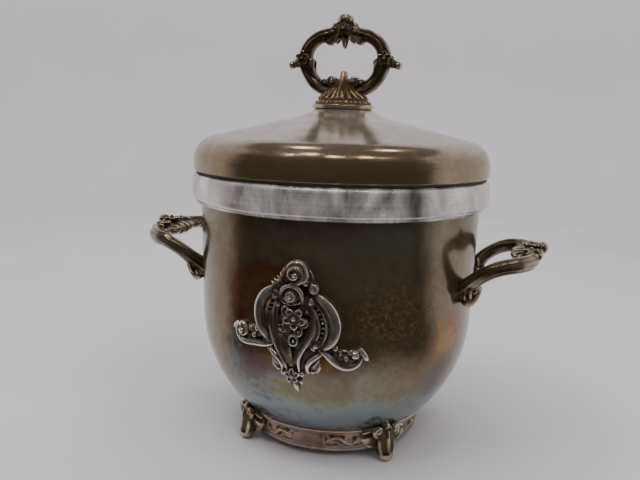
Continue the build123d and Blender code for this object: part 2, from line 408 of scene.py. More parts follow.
class WaxPattern:
    """A casting in the making, as solid bits of wax that overlap and are fused into one skin at the end.

    Bits are laid out flat on the bench in millimetres, u to the right, v up and w towards the eye, and lay()
    then puts them on their ground.
    """

    def __init__(self) -> None:
        """Starts with an empty bench."""
        self.flat: list[bpy.types.Object] = []
        self.laid: list[bpy.types.Object] = []

    def _keep(self) -> None:
        """Settles the newest object and keeps it as a flat bit."""
        bit = bpy.context.object
        settle(bit)
        self.flat.append(bit)

    def bead(self, at: Point, radius: float, squash: Point = (1.0, 1.0, 1.0), turn: float = 0.0) -> None:
        """Adds a round or oval boss.

        Args:
            at: Its middle.
            radius: Its radius before it is squashed.
            squash: How much it is stretched along u, v and w.
            turn: Its turn about w, in degrees.
        """
        bpy.ops.mesh.primitive_uv_sphere_add(
            segments=14,
            ring_count=9,
            radius=radius * MM,
            location=Vector(at) * MM,
            rotation=(0.0, 0.0, math.radians(turn)),
            scale=squash,
        )
        self._keep()

    def ring(
        self, at: Point, radius: float, bar: float, squash: Point = (1.0, 1.0, 1.0), turn: float = 0.0
    ) -> None:
        """Adds a small ring, such as the rim of a petal.

        Args:
            at: Its middle.
            radius: The radius of the bar's middle line.
            bar: The bar's own radius.
            squash: How much it is stretched along u, v and w.
            turn: Its turn about w, in degrees.
        """
        bpy.ops.mesh.primitive_torus_add(
            major_segments=18,
            minor_segments=8,
            major_radius=radius * MM,
            minor_radius=bar * MM,
            location=Vector(at) * MM,
            rotation=(0.0, 0.0, math.radians(turn)),
        )
        bpy.context.object.scale = squash
        self._keep()

    def rope(self, line: Sequence[Point], radii: Sequence[float], flat: float = 1.0) -> None:
        """Adds a round bar along a smooth line.

        Args:
            line: The points that steer it, in millimetres.
            radii: The bar's radius at each point, in millimetres.
            flat: How much it is pressed down towards the ground.
        """
        curve = bpy.data.curves.new("rope", "CURVE")
        curve.dimensions = "3D"
        curve.bevel_depth = MM
        curve.bevel_resolution = 3
        curve.resolution_u = 5
        curve.use_fill_caps = True
        spline = curve.splines.new("NURBS")
        spline.points.add(len(line) - 1)
        for point, (u, v, w), radius in zip(spline.points, line, radii):
            point.co = (*(Vector((u, v, w / flat)) * MM), 1.0)
            point.radius = radius
        spline.order_u = 3
        spline.use_endpoint_u = True
        bit = bpy.data.objects.new("rope", curve)
        bpy.context.scene.collection.objects.link(bit)
        pick(bit)
        bpy.ops.object.convert(target="MESH")
        bpy.context.object.scale = (1.0, 1.0, flat)
        self._keep()

    def scroll(
        self,
        centre: Point,
        radius: float,
        start: float,
        turns: float = 1.2,
        bar: float = 1.0,
        rise: float = 1.5,
    ) -> None:
        """Adds a volute that winds inwards to a raised eye.

        Args:
            centre: The eye.
            radius: The first turn's radius.
            start: Where the winding begins, in degrees from the u axis.
            turns: How many turns it makes, negative for clockwise.
            bar: The bar's radius where it begins.
            rise: How far the eye stands above the beginning.
        """
        steps = max(6, round(9 * abs(turns)))
        u, v, w = centre
        line, radii = [], []
        for k in range(steps + 1):
            share = k / steps
            angle = math.radians(start + 360 * turns * share)
            reach = radius * (1 - 0.85 * share)
            line.append((u + reach * math.cos(angle), v + reach * math.sin(angle), w + rise * share))
            radii.append(bar * (1 - 0.4 * share))
        self.rope(line, radii)
        self.bead((u, v, w + rise), 0.9 * bar)

    def flower(self, centre: Point, radius: float, petals: int = 5, turn: float = 90.0) -> None:
        """Adds an open flower with cupped petals.

        Args:
            centre: The middle of the flower, on its ground.
            radius: From the middle to the petals' tips.
            petals: How many petals it has.
            turn: Where the first petal points, in degrees from the u axis.
        """
        u, v, w = centre
        reach = 0.64 * radius
        self.bead(centre, 0.75 * radius, (1.0, 1.0, 0.45))
        for k in range(petals):
            angle = turn + 360 * k / petals
            across, up = reach * math.cos(math.radians(angle)), reach * math.sin(math.radians(angle))
            self.ring(
                (u + across, v + up, w + 0.22 * radius), 0.27 * radius, 0.11 * radius, (1.1, 0.95, 1.2), angle
            )
        self.bead((u, v, w + 0.4 * radius), 0.2 * radius)

    def leaf(self, line: Sequence[Point], width: float, rib: float = 0.0) -> None:
        """Adds a pointed leaf, widest a third of the way along, with a raised rib.

        Args:
            line: From the stalk to the tip.
            width: Its greatest half width.
            rib: The rib's radius, or 0 for none.
        """
        shares = [k / (len(line) - 1) for k in range(len(line))]
        radii = [width * (0.25 + 0.75 * math.sin(math.pi * min(1.0, 0.22 + 0.78 * s))) for s in shares]
        self.rope(line, radii, 0.55)
        if rib:
            raised = [(u, v, w + 0.42 * r) for (u, v, w), r in zip(line, radii)]
            self.rope(raised, [rib * (1.1 - 0.6 * s) for s in shares])

    def mirror(self) -> None:
        """Adds the mirror image, about u = 0, of every bit that lies flat."""
        self.flat += [mirrored(bit, (-1.0, 1.0, 1.0)) for bit in self.flat]

    def lay(self, ground: Mapping, keep_flat: bool = False) -> None:
        """Puts the flat bits on their ground.

        Args:
            ground: Turns points on the bench into points on the vessel, both in millimetres.
            keep_flat: Whether copies stay on the bench, to be laid again elsewhere.
        """
        bits = [copy_of(bit) for bit in self.flat] if keep_flat else self.flat
        joined = join(bits)
        put_points(joined, ground(points_of(joined)))
        self.laid.append(joined)
        if not keep_flat:
            self.flat = []

    def clear(self) -> None:
        """Throws away the bits that still lie flat."""
        pick(*self.flat)
        bpy.ops.object.delete()
        self.flat = []

    def fuse(self, voxel: float, soften: int = 2, sole: float | None = None) -> bpy.types.Object:
        """Fuses everything that is laid into one skin.

        Args:
            voxel: The grain of the skin in millimetres.
            soften: How many times the skin is smoothed.
            sole: A height in millimetres that nothing goes below, or None.

        Returns:
            The casting, with its relief marked.
        """
        casting = join(self.laid)
        self.laid = []
        apply_modifier(casting, "REMESH", mode="VOXEL", voxel_size=voxel * MM, use_smooth_shade=True)
        apply_modifier(casting, "SMOOTH", factor=0.5, iterations=soften)
        if sole is not None:
            points = points_of(casting)
            points[:, 2] = np.maximum(points[:, 2], sole)
            put_points(casting, points)
        mark_relief(casting)
        return casting


# ------------------------------------------------------------------------------------------ grounds


def facing(origin: Point, right: Point, up: Point, deepen: float = 1.0) -> Mapping:
    """Makes a flat ground that stands anywhere.

    Args:
        origin: Where the bench's origin goes, in millimetres.
        right: The direction that u takes.
        up: The direction that v takes.
        deepen: How much w is stretched.

    Returns:
        The mapping.
    """
    u_axis = np.array(Vector(right).normalized())
    v_axis = np.array(Vector(up).normalized())
    w_axis = np.cross(u_axis, v_axis) * deepen

    def lay(points: np.ndarray) -> np.ndarray:
        """Puts points of the bench on the flat ground."""
        return np.array(origin) + points[:, :1] * u_axis + points[:, 1:2] * v_axis + points[:, 2:] * w_axis

    return lay


@dataclass(frozen=True)
class VesselWall:
    """The outside of the vessel: a straight, slightly tapering wall over a round bowl. Sizes in mm."""

    rim_radius: float
    rim_height: float
    floor_height: float
    floor_radius: float = 46.0
    waist_radius: float = 88.0  # where the straight wall turns into the bowl
    waist_height: float = 82.0

    def outline(self) -> Outline:
        """Returns the outline from the rim down to the axis."""
        line = Outline(self.rim_radius, self.rim_height)
        line.line(self.waist_radius, self.waist_height, 10)
        line.sweep(self.floor_radius, self.floor_height, 28)
        line.line(0.0, self.floor_height, 3)
        return line

    def ground(self, azimuth: float, height: float, sink: float = 0.5) -> Mapping:
        """Makes the ground for a casting that is soldered on the wall.

        Args:
            azimuth: Where its middle stands, in degrees from +X.
            height: The height of its middle.
            sink: How far its back reaches into the wall.

        Returns:
            The mapping, with u along the wall, v up and w along the wall's normal.
        """
        outside = np.array(self.outline().points)[::-1]
        slope = np.gradient(outside[:, 0], outside[:, 1] + np.arange(len(outside)) * 1e-6)

        def lay(points: np.ndarray) -> np.ndarray:
            """Puts points of the bench on the wall.

            Args:
                points: The bench's u, v and w, one row each.

            Returns:
                Their places on the vessel.
            """
            z = height + points[:, 1]
            w = np.maximum(points[:, 2], -sink)
            radius = np.interp(z, outside[:, 1], outside[:, 0])
            lean = np.interp(z, outside[:, 1], slope)
            length = np.sqrt(1 + lean**2)
            angle = math.radians(azimuth) + points[:, 0] / self.waist_radius
            reach = radius + w / length
            return np.stack([reach * np.cos(angle), reach * np.sin(angle), z - w * lean / length], axis=1)

        return lay


def on_cone(foot: tuple[float, float], top: tuple[float, float], azimuth: float) -> Mapping:
    """Makes the ground for relief on a cone about the axis.

    Args:
        foot: The radius and height of the cone's foot in millimetres.
        top: The radius and height of its top.
        azimuth: Where u = 0 is, in degrees from +X.

    Returns:
        The mapping, with u along the foot's circle, v the height and w outwards.
    """

    def lay(points: np.ndarray) -> np.ndarray:
        """Puts points of the bench on the cone.

        Args:
            points: The bench's u, v and w, one row each.

        Returns:
            Their places on the vessel.
        """
        share = (points[:, 1] - foot[1]) / (top[1] - foot[1])
        reach = foot[0] + share * (top[0] - foot[0]) + points[:, 2]
        angle = math.radians(azimuth) + points[:, 0] / foot[0]
        return np.stack([reach * np.cos(angle), reach * np.sin(angle), points[:, 1]], axis=1)

    return lay


# ------------------------------------------------------------------------------------------ finishes


def linear(code: str) -> tuple[float, float, float, float]:
    """Turns an sRGB hex colour into the linear one that shaders take.

    Args:
        code: The colour, such as "#a08040".

    Returns:
        Red, green, blue and alpha.
    """
    parts = [int(code[k : k + 2], 16) / 255 for k in (1, 3, 5)]
    return (*(p / 12.92 if p <= 0.04045 else ((p + 0.055) / 1.055) ** 2.4 for p in parts), 1.0)


def grey(value: float) -> str:
    """Returns the hex grey that linear() turns back into this value."""
    code = 12.92 * value if value <= 0.0031308 else 1.055 * value ** (1 / 2.4) - 0.055
    return "#" + 3 * f"{round(code * 255):02x}"


def per(size: float) -> float:
    """Returns the texture scale that gives a pattern this size in millimetres."""
    return 1.0 / (size * MM)


class Nodes:
    """One material's node tree."""

    def __init__(self, name: str) -> None:
        """Starts a material with only its output and shader.

        Args:
            name: The material's name.
        """
        self.material = bpy.data.materials.new(name)
        self.material.use_nodes = True
        self.tree = self.material.node_tree
        self.shader = self.tree.nodes["Principled BSDF"]

    def feed(self, node: bpy.types.Node, inputs: dict[str | int, object]) -> None:
        """Links or sets a node's inputs.

        Args:
            node: The node.
            inputs: Values or sockets, by the input's name or number.
        """
        for name, value in inputs.items():
            if isinstance(value, bpy.types.NodeSocket):
                self.tree.links.new(value, node.inputs[name])
            else:
                node.inputs[name].default_value = value

    def add(
        self,
        kind: str,
        inputs: dict[str | int, object] | Sequence[object] = (),
        stops: Sequence[tuple[float, str]] = (),
        out: str | int = 0,
        **settings: object,
    ) -> bpy.types.NodeSocket:
        """Adds one node and wires it.

        Args:
            kind: The node's type, without its ShaderNode prefix.
            inputs: Values or sockets for its inputs, by name or number, or simply in their order.
            stops: The colour ramp's stops, as places and sRGB hex colours.
            out: The output that is handed back.
            settings: The node's own settings.

        Returns:
            The chosen output.
        """
        node = self.tree.nodes.new(f"ShaderNode{kind}")
        for name, value in settings.items():
            setattr(node, name, value)
        self.feed(node, inputs if isinstance(inputs, dict) else dict(enumerate(inputs)))
        for k, (place, code) in enumerate(stops):
            elements = node.color_ramp.elements
            element = elements[k] if k < 2 else elements.new(place)
            element.position = place
            element.color = linear(code)
        return node.outputs[out]

    def shade(self, **sockets: object) -> bpy.types.Material:
        """Feeds the shader, given its sockets' names with underscores, and hands back the material."""
        self.feed(self.shader, {name.replace("_", " "): value for name, value in sockets.items()})
        return self.material


@dataclass(frozen=True)
class Stain:
    """A place where the film on the plate is of its own thickness. Sizes in millimetres."""

    centre: Point
    reach: float
    inside: float  # the film's thickness at its middle
    outside: float  # and at its edge
    share: float  # how much of the film around it is covered


@dataclass(frozen=True)
class TarnishedPlate:
    """Polished silver plate under a sulphide film, gold, copper, violet and slate by its thickness."""

    name: str
    film_by_height: Sequence[tuple[float, float]]  # height in mm and the film there, 0 bare to 1 thick
    wander: float = 0.16  # how much the film wanders from place to place
    patch: float = 38.0  # size of its patches, mm
    stains: Sequence[Stain] = ()
    speckle: tuple[Point, float] | None = None  # centre and reach in mm of a field of worn, golden specks
    rings: float = 0.0  # share of the foot that dried drops have ringed
    film: Sequence[tuple[float, str]] = (
        (0.0, "#d3cec8"),
        (0.16, "#b9aa8c"),
        (0.30, "#9a8450"),
        (0.40, "#8c6333"),
        (0.49, "#74422b"),
        (0.57, "#5f3f45"),
        (0.65, "#5f5c68"),
        (0.74, "#879194"),
        (0.82, "#8b948c"),
        (0.90, "#85806a"),
        (1.0, "#756452"),
    )
    film_height: float = 220.0  # the height in mm that film_by_height is drawn over
    roughness: float = 0.12
    film_body: float = 0.14  # share of the light that the film scatters instead of the metal

    def film_colour(self, n: Nodes, place: bpy.types.NodeSocket) -> bpy.types.NodeSocket:
        """Works out the film's colour from its thickness, and lays the stains over it.

        Args:
            n: The material's nodes.
            place: The point on the piece.

        Returns:
            The colour.
        """
        height = n.add("SeparateXYZ", (place,), out="Z")
        patches = {
            "Vector": place, "Scale": per(self.patch), "Detail": 5.0, "Roughness": 0.55, "Distortion": 0.7,
        }
        drift = n.add("TexNoise", patches)
        fine = n.add(
            "TexNoise", {"Vector": place, "Scale": per(self.patch / 8), "Detail": 6.0, "Roughness": 0.65}
        )
        drift = n.add("Math", (drift, 0.5), operation="SUBTRACT")
        fine = n.add("Math", (fine, 0.5), operation="SUBTRACT")
        uneven = n.add("Math", (fine, 0.7, drift), operation="MULTIPLY_ADD")
        grade = n.add("MapRange", (height, 0.0, self.film_height * MM))
        spans = [(h / self.film_height, grey(thickness)) for h, thickness in self.film_by_height]
        film = n.add("RGBToBW", (n.add("ValToRGB", (grade,), spans),))
        film = n.add("Math", (uneven, 2 * self.wander, film), operation="MULTIPLY_ADD")
        colour = n.add("ValToRGB", (film,), self.film)
        for stain in self.stains:
            reach = stain.reach * MM  # the stain's edge wanders in and out by a good part of this
            away = n.add("VectorMath", (place, Vector(stain.centre) * MM), out="Value", operation="DISTANCE")
            ragged = n.add("Math", (uneven, 2.2 * reach, away), operation="MULTIPLY_ADD")
            local = n.add("MapRange", (ragged, 0.3 * reach, reach, stain.inside, stain.outside))
            local = n.add("Math", (uneven, 0.12, local), operation="MULTIPLY_ADD")
            fade = (ragged, 0.6 * reach, reach, stain.share, 0.0)
            mask = n.add("MapRange", fade, interpolation_type="SMOOTHSTEP")
            own = n.add("ValToRGB", (local,), self.film)
            colour = n.add("Mix", {0: mask, 6: colour, 7: own}, out=2, data_type="RGBA")
        return colour

    def specks(self, n: Nodes, place: bpy.types.NodeSocket) -> bpy.types.NodeSocket:
        """Scatters golden specks, close together at the middle of their field.

        Args:
            n: The material's nodes.
            place: The point on the piece.

        Returns:
            How far each place is worn down to gold.
        """
        centre, reach = self.speckle
        away = n.add("VectorMath", (place, Vector(centre) * MM), out="Value", operation="DISTANCE")
        field = n.add("MapRange", (away, 0.3 * reach * MM, reach * MM, 1.0, 0.0))
        crumbs = {"Vector": place, "Scale": per(2.4), "Detail": 6.0, "Roughness": 0.8, "Distortion": 1.0}
        lifted = n.add("Math", (field, 0.10, n.add("TexNoise", crumbs)), operation="MULTIPLY_ADD")
        worn = n.add("MapRange", (lifted, 0.60, 0.66))
        worn = n.add("Math", (worn, field), operation="MULTIPLY")
        return n.add("Math", (worn, 0.95), operation="MULTIPLY")

    def drops(self, n: Nodes, place: bpy.types.NodeSocket) -> bpy.types.NodeSocket:
        """Draws the rings that drops of water left as they dried, low on the bowl.

        Args:
            n: The material's nodes.
            place: The point on the piece.

        Returns:
            How dark each place is ringed.
        """
        cells = n.add("TexVoronoi", {"Vector": place, "Scale": per(17), "Randomness": 1.0}, out="Distance")
        height = n.add("SeparateXYZ", (place,), out="Z")
        low = n.add("MapRange", (height, 34 * MM, 50 * MM, 1.0, 0.0))
        off = n.add("Math", (cells, 0.12), operation="SUBTRACT")
        off = n.add("Math", (off,), operation="ABSOLUTE")
        off = n.add("Math", (off, 28.0), operation="MULTIPLY")
        ring = n.add("Math", (1.0, off), operation="SUBTRACT")
        ring = n.add("Math", (ring, 0.0), operation="MAXIMUM")
        low = n.add("Math", (low, self.rings), operation="MULTIPLY")
        return n.add("Math", (ring, low), operation="MULTIPLY")

    def make(self) -> bpy.types.Material:
        """Builds the material.

        Returns:
            The material.
        """
        n = Nodes(self.name)
        place = n.add("TexCoord", out="Object")
        colour = self.film_colour(n, place)
        if self.speckle:
            share = self.specks(n, place)
            colour = n.add("Mix", {0: share, 6: colour, 7: linear("#b8a066")}, out=2, data_type="RGBA")
        if self.rings:
            share = self.drops(n, place)
            colour = n.add("Mix", {0: share, 6: colour, 7: linear("#5d4750")}, out=2, data_type="RGBA")
        wiped = {"Vector": place, "Scale": per(22), "Detail": 5.0, "Roughness": 0.6, "Distortion": 1.2}
        smears = n.add("TexNoise", wiped)
        gloss = n.add("MapRange", (smears, 0.3, 0.75, self.roughness, 2.1 * self.roughness))
        waves = n.add("TexNoise", {"Vector": place, "Scale": per(38), "Detail": 1.0})
        lie = n.add("Bump", {"Height": waves, "Strength": 0.18, "Distance": 0.35 * MM})
        # real scuffs are some hundredths of a millimetre wide, and are drawn as 0.9 mm so that they show
        scuffs = n.add("TexNoise", {"Vector": place, "Scale": per(0.9), "Detail": 3.0})
        skin = n.add("Bump", {"Height": scuffs, "Strength": 0.05, "Distance": 0.05 * MM, "Normal": lie})
        return n.shade(Base_Color=colour, Metallic=1.0 - self.film_body, Roughness=gloss, Normal=skin)


@dataclass(frozen=True)
class BrushedPlate:
    """Bright silver plate, wiped with a cloth that leaves soft clouds, with painted shade that browns and
    darkens one end.
    """

    name: str
    painted_dark_end: Point  # middle of the patch of painted shade that darkens one end of the band, mm
    bright: str = "#ece9e4"
    smudge: str = "#93877b"
    # the colour of the painted shade at the dark end
    tarnish: str = "#5f4e4a"
    scatter: float = 0.5  # share of the light that its cloudiest places scatter

    def make(self) -> bpy.types.Material:
        """Builds the material.

        Returns:
            The material.
        """
        n = Nodes(self.name)
        place = n.add("TexCoord", out="Object")
        split = n.add("SeparateXYZ", (place,))
        x, y, z = split.node.outputs
        angle = n.add("Math", (y, x), operation="ARCTAN2")
        # real brush marks are finer, and are drawn 1.6 mm wide so that they show
        slow = n.add("Math", (angle, 1.2), operation="MULTIPLY")
        fast = n.add("Math", (z, per(1.6)), operation="MULTIPLY")
        round_it = n.add("CombineXYZ", (slow, 0.0, fast))
        streaks = n.add("TexNoise", {"Vector": round_it, "Scale": 1.0, "Detail": 4.0, "Roughness": 0.6})
        fast = n.add("Math", (angle, 5.0), operation="MULTIPLY")
        slow = n.add("Math", (z, per(34)), operation="MULTIPLY")
        wiped = {"Vector": n.add("CombineXYZ", (fast, 0.0, slow)), "Scale": 1.0, "Detail": 4.0}
        clouds = n.add("TexNoise", {**wiped, "Roughness": 0.55, "Distortion": 0.5})
        mixed = n.add("Math", (streaks, 0.5), operation="SUBTRACT")
        mixed = n.add("Math", (mixed, 0.12, clouds), operation="MULTIPLY_ADD")
        stain = n.add("MapRange", (mixed, 0.36, 0.74, 0.0, 0.8))
        colours = {0: stain, 6: linear(self.bright), 7: linear(self.smudge)}
        colour = n.add("Mix", colours, out=2, data_type="RGBA")
        # painted shade: a ragged brown patch round the dark end's middle darkens that end of the band
        away = n.add("VectorMath", (place, Vector(self.painted_dark_end) * MM), out="Value", operation="DISTANCE")
        ragged = n.add("Math", (clouds, 0.5), operation="SUBTRACT")
        ragged = n.add("Math", (ragged, 50 * MM, away), operation="MULTIPLY_ADD")
        painted_dark_end = n.add("MapRange", (ragged, 12 * MM, 40 * MM, 0.8, 0.0), interpolation_type="SMOOTHSTEP")
        colour = n.add("Mix", {0: painted_dark_end, 6: colour, 7: linear(self.tarnish)}, out=2, data_type="RGBA")
        gloss = n.add("MapRange", (mixed, 0.3, 0.7, 0.30, 0.20))
        metal = n.add("MapRange", (mixed, 0.28, 0.72, 1.0 - self.scatter, 0.92))
        skin = n.add("Bump", {"Height": streaks, "Strength": 0.08, "Distance": 0.05 * MM})
        return n.shade(Base_Color=colour, Metallic=metal, Roughness=gloss, Normal=skin)


@dataclass(frozen=True)
class AntiquedCasting:
    """Cast metal under silver plate, blackened in its hollows and rubbed bright on its high places."""

    name: str
    hollow: str
    flat: str
    high: str
    warm: str = "#7a5a34"  # tints it here and there
    rubbed: float = 0.66  # the relief above which the metal is bright
    roughness: float = 0.18
    metal: float = 0.9  # how much of the rubbed surface is bare metal
    bloom: float = 0.0  # share of orange, violet and blue tarnish on its flats

    def make(self) -> bpy.types.Material:
        """Builds the material.

        Returns:
            The material.
        """
        n = Nodes(self.name)
        place = n.add("TexCoord", out="Object")
        relief = n.add("Attribute", out="Fac", attribute_name="relief")
        grime = n.add("TexNoise", {"Vector": place, "Scale": per(7), "Detail": 5.0, "Roughness": 0.6})
        grain = n.add("TexNoise", {"Vector": place, "Scale": per(0.8), "Detail": 4.0, "Roughness": 0.6})
        worn = n.add("Math", (grime, 0.5), operation="SUBTRACT")
        worn = n.add("Math", (worn, 0.35, relief), operation="MULTIPLY_ADD")
        tones = ((0.12, self.hollow), (0.36, self.flat), (self.rubbed, self.flat), (0.98, self.high))
        base = n.add("ValToRGB", (worn,), tones)
        golden = n.add("TexNoise", {"Vector": place, "Scale": per(16), "Detail": 3.0})
        tint = n.add("MapRange", (golden, 0.45, 0.7, 0.0, 0.7))
        warmed = {0: tint, 6: base, 7: linear(self.warm)}
        colour = n.add("Mix", warmed, out=2, data_type="RGBA", blend_type="OVERLAY")
        if self.bloom:
            drift = n.add("TexNoise", {"Vector": place, "Scale": per(26), "Detail": 3.0})
            hues = ((0.38, "#8a6a3c"), (0.46, "#5f5470"), (0.54, "#6a7484"), (0.62, "#8f5a34"))
            tarnish = n.add("ValToRGB", (drift,), hues)
            flats = n.add("MapRange", (worn, 0.35, 0.55, 0.0, self.bloom))
            colour = n.add("Mix", {0: flats, 6: colour, 7: tarnish}, out=2, data_type="RGBA")
        gloss = n.add("MapRange", (worn, 0.2, 0.9, 2.3 * self.roughness, self.roughness))
        metal = n.add("MapRange", (worn, 0.15, 0.45, 0.35, self.metal))
        pits = n.add("Bump", {"Height": grain, "Strength": 0.22, "Distance": 0.12 * MM})
        return n.shade(Base_Color=colour, Metallic=metal, Roughness=gloss, Normal=pits)


@dataclass(frozen=True)
class SpunStainless:
    """Stainless steel spun over a former, with fine rings of tool marks round the axis."""

    name: str
    colour: str = "#b8b7b4"
    dull: str = "#8f8b84"
    mark: float = 0.8  # width of a tool mark in mm; real ones are finer, and this is as fine as shows
    roughness: float = 0.24

    def make(self) -> bpy.types.Material:
        """Builds the material.

        Returns:
            The material.
        """
        n = Nodes(self.name)
        place = n.add("TexCoord", out="Object")
        split = n.add("SeparateXYZ", (place,))
        x, y, z = split.node.outputs
        flat = n.add("VectorMath", (n.add("CombineXYZ", (x, y, 0.0)),), out="Value", operation="LENGTH")
        across = n.add("Math", (flat, per(self.mark)), operation="MULTIPLY")
        along = n.add("Math", (z, per(self.mark)), operation="MULTIPLY")
        rings = n.add("CombineXYZ", (across, n.add("Math", (y, x), operation="ARCTAN2"), along))
        marks = n.add("TexNoise", {"Vector": rings, "Scale": 1.0, "Detail": 3.0})
        cloud = n.add("TexNoise", {"Vector": place, "Scale": per(30), "Detail": 4.0})
        share = n.add("Math", (cloud, 0.5), operation="MULTIPLY")
        colours = {0: share, 6: linear(self.colour), 7: linear(self.dull)}
        colour = n.add("Mix", colours, out=2, data_type="RGBA")
        gloss = n.add("MapRange", (marks, 0.0, 1.0, self.roughness, 1.7 * self.roughness))
        skin = n.add("Bump", {"Height": marks, "Strength": 0.15, "Distance": 0.05 * MM})
        return n.shade(Base_Color=colour, Metallic=1.0, Roughness=gloss, Normal=skin)


@dataclass(frozen=True)
class MouldedSoft:
    """Closed-cell foam or rubber: matt, finely pored and a little uneven in tone."""

    name: str
    light: str
    dark: str
    pore: float  # size of a pore, mm
    depth: float  # of a pore, mm
    roughness: float = 0.8

    def make(self) -> bpy.types.Material:
        """Builds the material.

        Returns:
            The material.
        """
        n = Nodes(self.name)
        place = n.add("TexCoord", out="Object")
        cells = n.add("TexVoronoi", {"Vector": place, "Scale": per(self.pore)}, out="Distance")
        tone = n.add("TexNoise", {"Vector": place, "Scale": per(12), "Detail": 4.0})
        colours = {0: tone, 6: linear(self.light), 7: linear(self.dark)}
        colour = n.add("Mix", colours, out=2, data_type="RGBA")
        skin = n.add("Bump", {"Height": cells, "Strength": 0.4, "Distance": self.depth * MM})
        return n.shade(Base_Color=colour, Roughness=self.roughness, Normal=skin)


@dataclass(frozen=True)
class ZincSteel:
    """Zinc-plated turned steel: cool grey with a faint yellow passivation that varies along the piece."""

    name: str

    def make(self) -> bpy.types.Material:
        """Builds the material.

        Returns:
            The material.
        """
        n = Nodes(self.name)
        place = n.add("TexCoord", out="Object")
        bloom = n.add("TexNoise", {"Vector": place, "Scale": per(3), "Detail": 5.0})
        colour = n.add("ValToRGB", (bloom,), ((0.3, "#8e9299"), (0.7, "#b3ab8c")))
        gloss = n.add("MapRange", (bloom, 0.0, 1.0, 0.25, 0.45))
        skin = n.add("Bump", {"Height": bloom, "Strength": 0.1, "Distance": 0.04 * MM})
        return n.shade(Base_Color=colour, Metallic=1.0, Roughness=gloss, Normal=skin)


@dataclass(frozen=True)
class TableCloth:
    """Pale cotton sheeting: matt, and faintly creased and shaded, so that the eye passes over it."""

    name: str
    light: str = "#c9c6c8"
    dark: str = "#b9b6b9"
    fold: float = 250.0  # from crease to crease, mm
    thread: float = 1.2  # mm; real threads are 0.3 mm apart, too fine to show

    def make(self) -> bpy.types.Material:
        """Builds the material.

        Returns:
            The material.
        """
        n = Nodes(self.name)
        place = n.add("TexCoord", out="Object")
        folds = n.add(
            "TexNoise", {"Vector": place, "Scale": per(self.fold), "Detail": 3.0, "Distortion": 0.8}
        )
        thread = n.add("TexNoise", {"Vector": place, "Scale": per(self.thread), "Detail": 2.0})
        colours = {0: folds, 6: linear(self.light), 7: linear(self.dark)}
        colour = n.add("Mix", colours, out=2, data_type="RGBA")
        creases = n.add("Bump", {"Height": folds, "Strength": 0.5, "Distance": 12 * MM})
        skin = n.add("Bump", {"Height": thread, "Strength": 0.2, "Distance": 0.1 * MM, "Normal": creases})
        return n.shade(Base_Color=colour, Roughness=0.9, Normal=skin)


@dataclass(frozen=True)
class Finishes:
    """Every finish of the bucket, made once and shared."""

    body: bpy.types.Material
    lid: bpy.types.Material
    collar: bpy.types.Material
    ring: bpy.types.Material
    cartouche: bpy.types.Material
    dark_casting: bpy.types.Material
    gilt_casting: bpy.types.Material
    liner: bpy.types.Material
    foam: bpy.types.Material
    rubber: bpy.types.Material
    zinc: bpy.types.Material

    @classmethod
    def make(cls, cartouche_middle: Point) -> "Finishes":
        """Mixes the finishes.

        Args:
            cartouche_middle: The middle of the front cartouche, round which the film is warmest, in mm.

        Returns:
            The finishes.
        """
        u, v, w = cartouche_middle
        stains = (
            Stain((u - 24.0, v + 4.0, w + 6.0), 36.0, 0.44, 0.57, 0.85),
            Stain((u - 30.0, v + 8.0, w - 26.0), 26.0, 0.62, 0.76, 0.7),
            Stain((u + 19.0, v + 4.0, w - 19.0), 11.0, 0.34, 0.50, 0.8),
            Stain((u - 2.0, v + 1.0, w - 2.0), 30.0, 0.34, 0.46, 0.45),
            Stain((u + 76.0, v + 45.0, w - 17.0), 20.0, 0.36, 0.50, 0.65),
            Stain((u + 74.0, v + 46.0, w - 40.0), 22.0, 0.60, 0.68, 0.6),
        )
        champagne = (
            (0.0, "#d3cec8"),
            (0.2, "#b5ab99"),
            (0.4, "#a09278"),
            (0.6, "#94805f"),
            (0.78, "#856347"),
            (0.92, "#684645"),
        )
        return cls(
            # a brown mirror that turns slate and violet towards the foot, with amber round the cartouche
            body=TarnishedPlate(
                "sulphide_tarnished_silver",
                film_by_height=((22.0, 0.72), (36.0, 0.76), (50.0, 0.90), (100.0, 0.97), (150.0, 0.93)),
                stains=stains,
                speckle=((50.0, -72.0, 98.0), 44.0),
                rings=0.8,
            ).make(),
            # champagne silver, browner over the shoulder
            lid=TarnishedPlate(
                "champagne_silver_plate",
                film_by_height=((172.0, 0.50), (184.0, 0.46), (193.0, 0.24), (204.0, 0.14), (214.0, 0.05)),
                wander=0.30,
                patch=30.0,
                film=champagne,
                film_body=0.10,
            ).make(),
            # the brightest band of all, softly brushed, with cloudy patches and one end darkened by painted
            # shade
            collar=BrushedPlate("wiped_silver_plate", (-92.0, -22.0, 162.0)).make(),
            # pinkish old silver with orange and blue bloom on the flats between the scrolls
            ring=AntiquedCasting(
                "antiqued_foot_ring",
                "#2a2119",
                "#a8957f",
                "#d8c8b2",
                rubbed=0.6,
                roughness=0.22,
                metal=0.75,
                bloom=0.45,
            ).make(),
            # black lines round bright, almost white relief
            cartouche=AntiquedCasting("antiqued_cartouche", "#17130e", "#766a59", "#f0ece4").make(),
            # nearly black metal that glints brown and pale gold where hands rub it
            dark_casting=AntiquedCasting(
                "blackened_casting", "#100d09", "#5a503f", "#c4bba4", roughness=0.17
            ).make(),
            # plate worn down to the golden metal under it
            gilt_casting=AntiquedCasting(
                "worn_golden_casting", "#1c150c", "#7c6a4d", "#cfbf9e", rubbed=0.64
            ).make(),
            # satin grey with a sheen that runs round the axis
            liner=SpunStainless("spun_stainless").make(),
            # dull cream with pin-prick pores
            foam=MouldedSoft("closed_cell_foam", "#d8d5cb", "#c2bdae", 0.9, 0.25).make(),
            # soft, even black with hardly a highlight
            rubber=MouldedSoft("moulded_rubber", "#3a3a3a", "#2a2a2b", 0.5, 0.05, 0.6).make(),
            # cool grey with a straw-coloured cast
            zinc=ZincSteel("zinc_plated_steel").make(),
        )


# ------------------------------------------------------------------------------------------ sub-assemblies


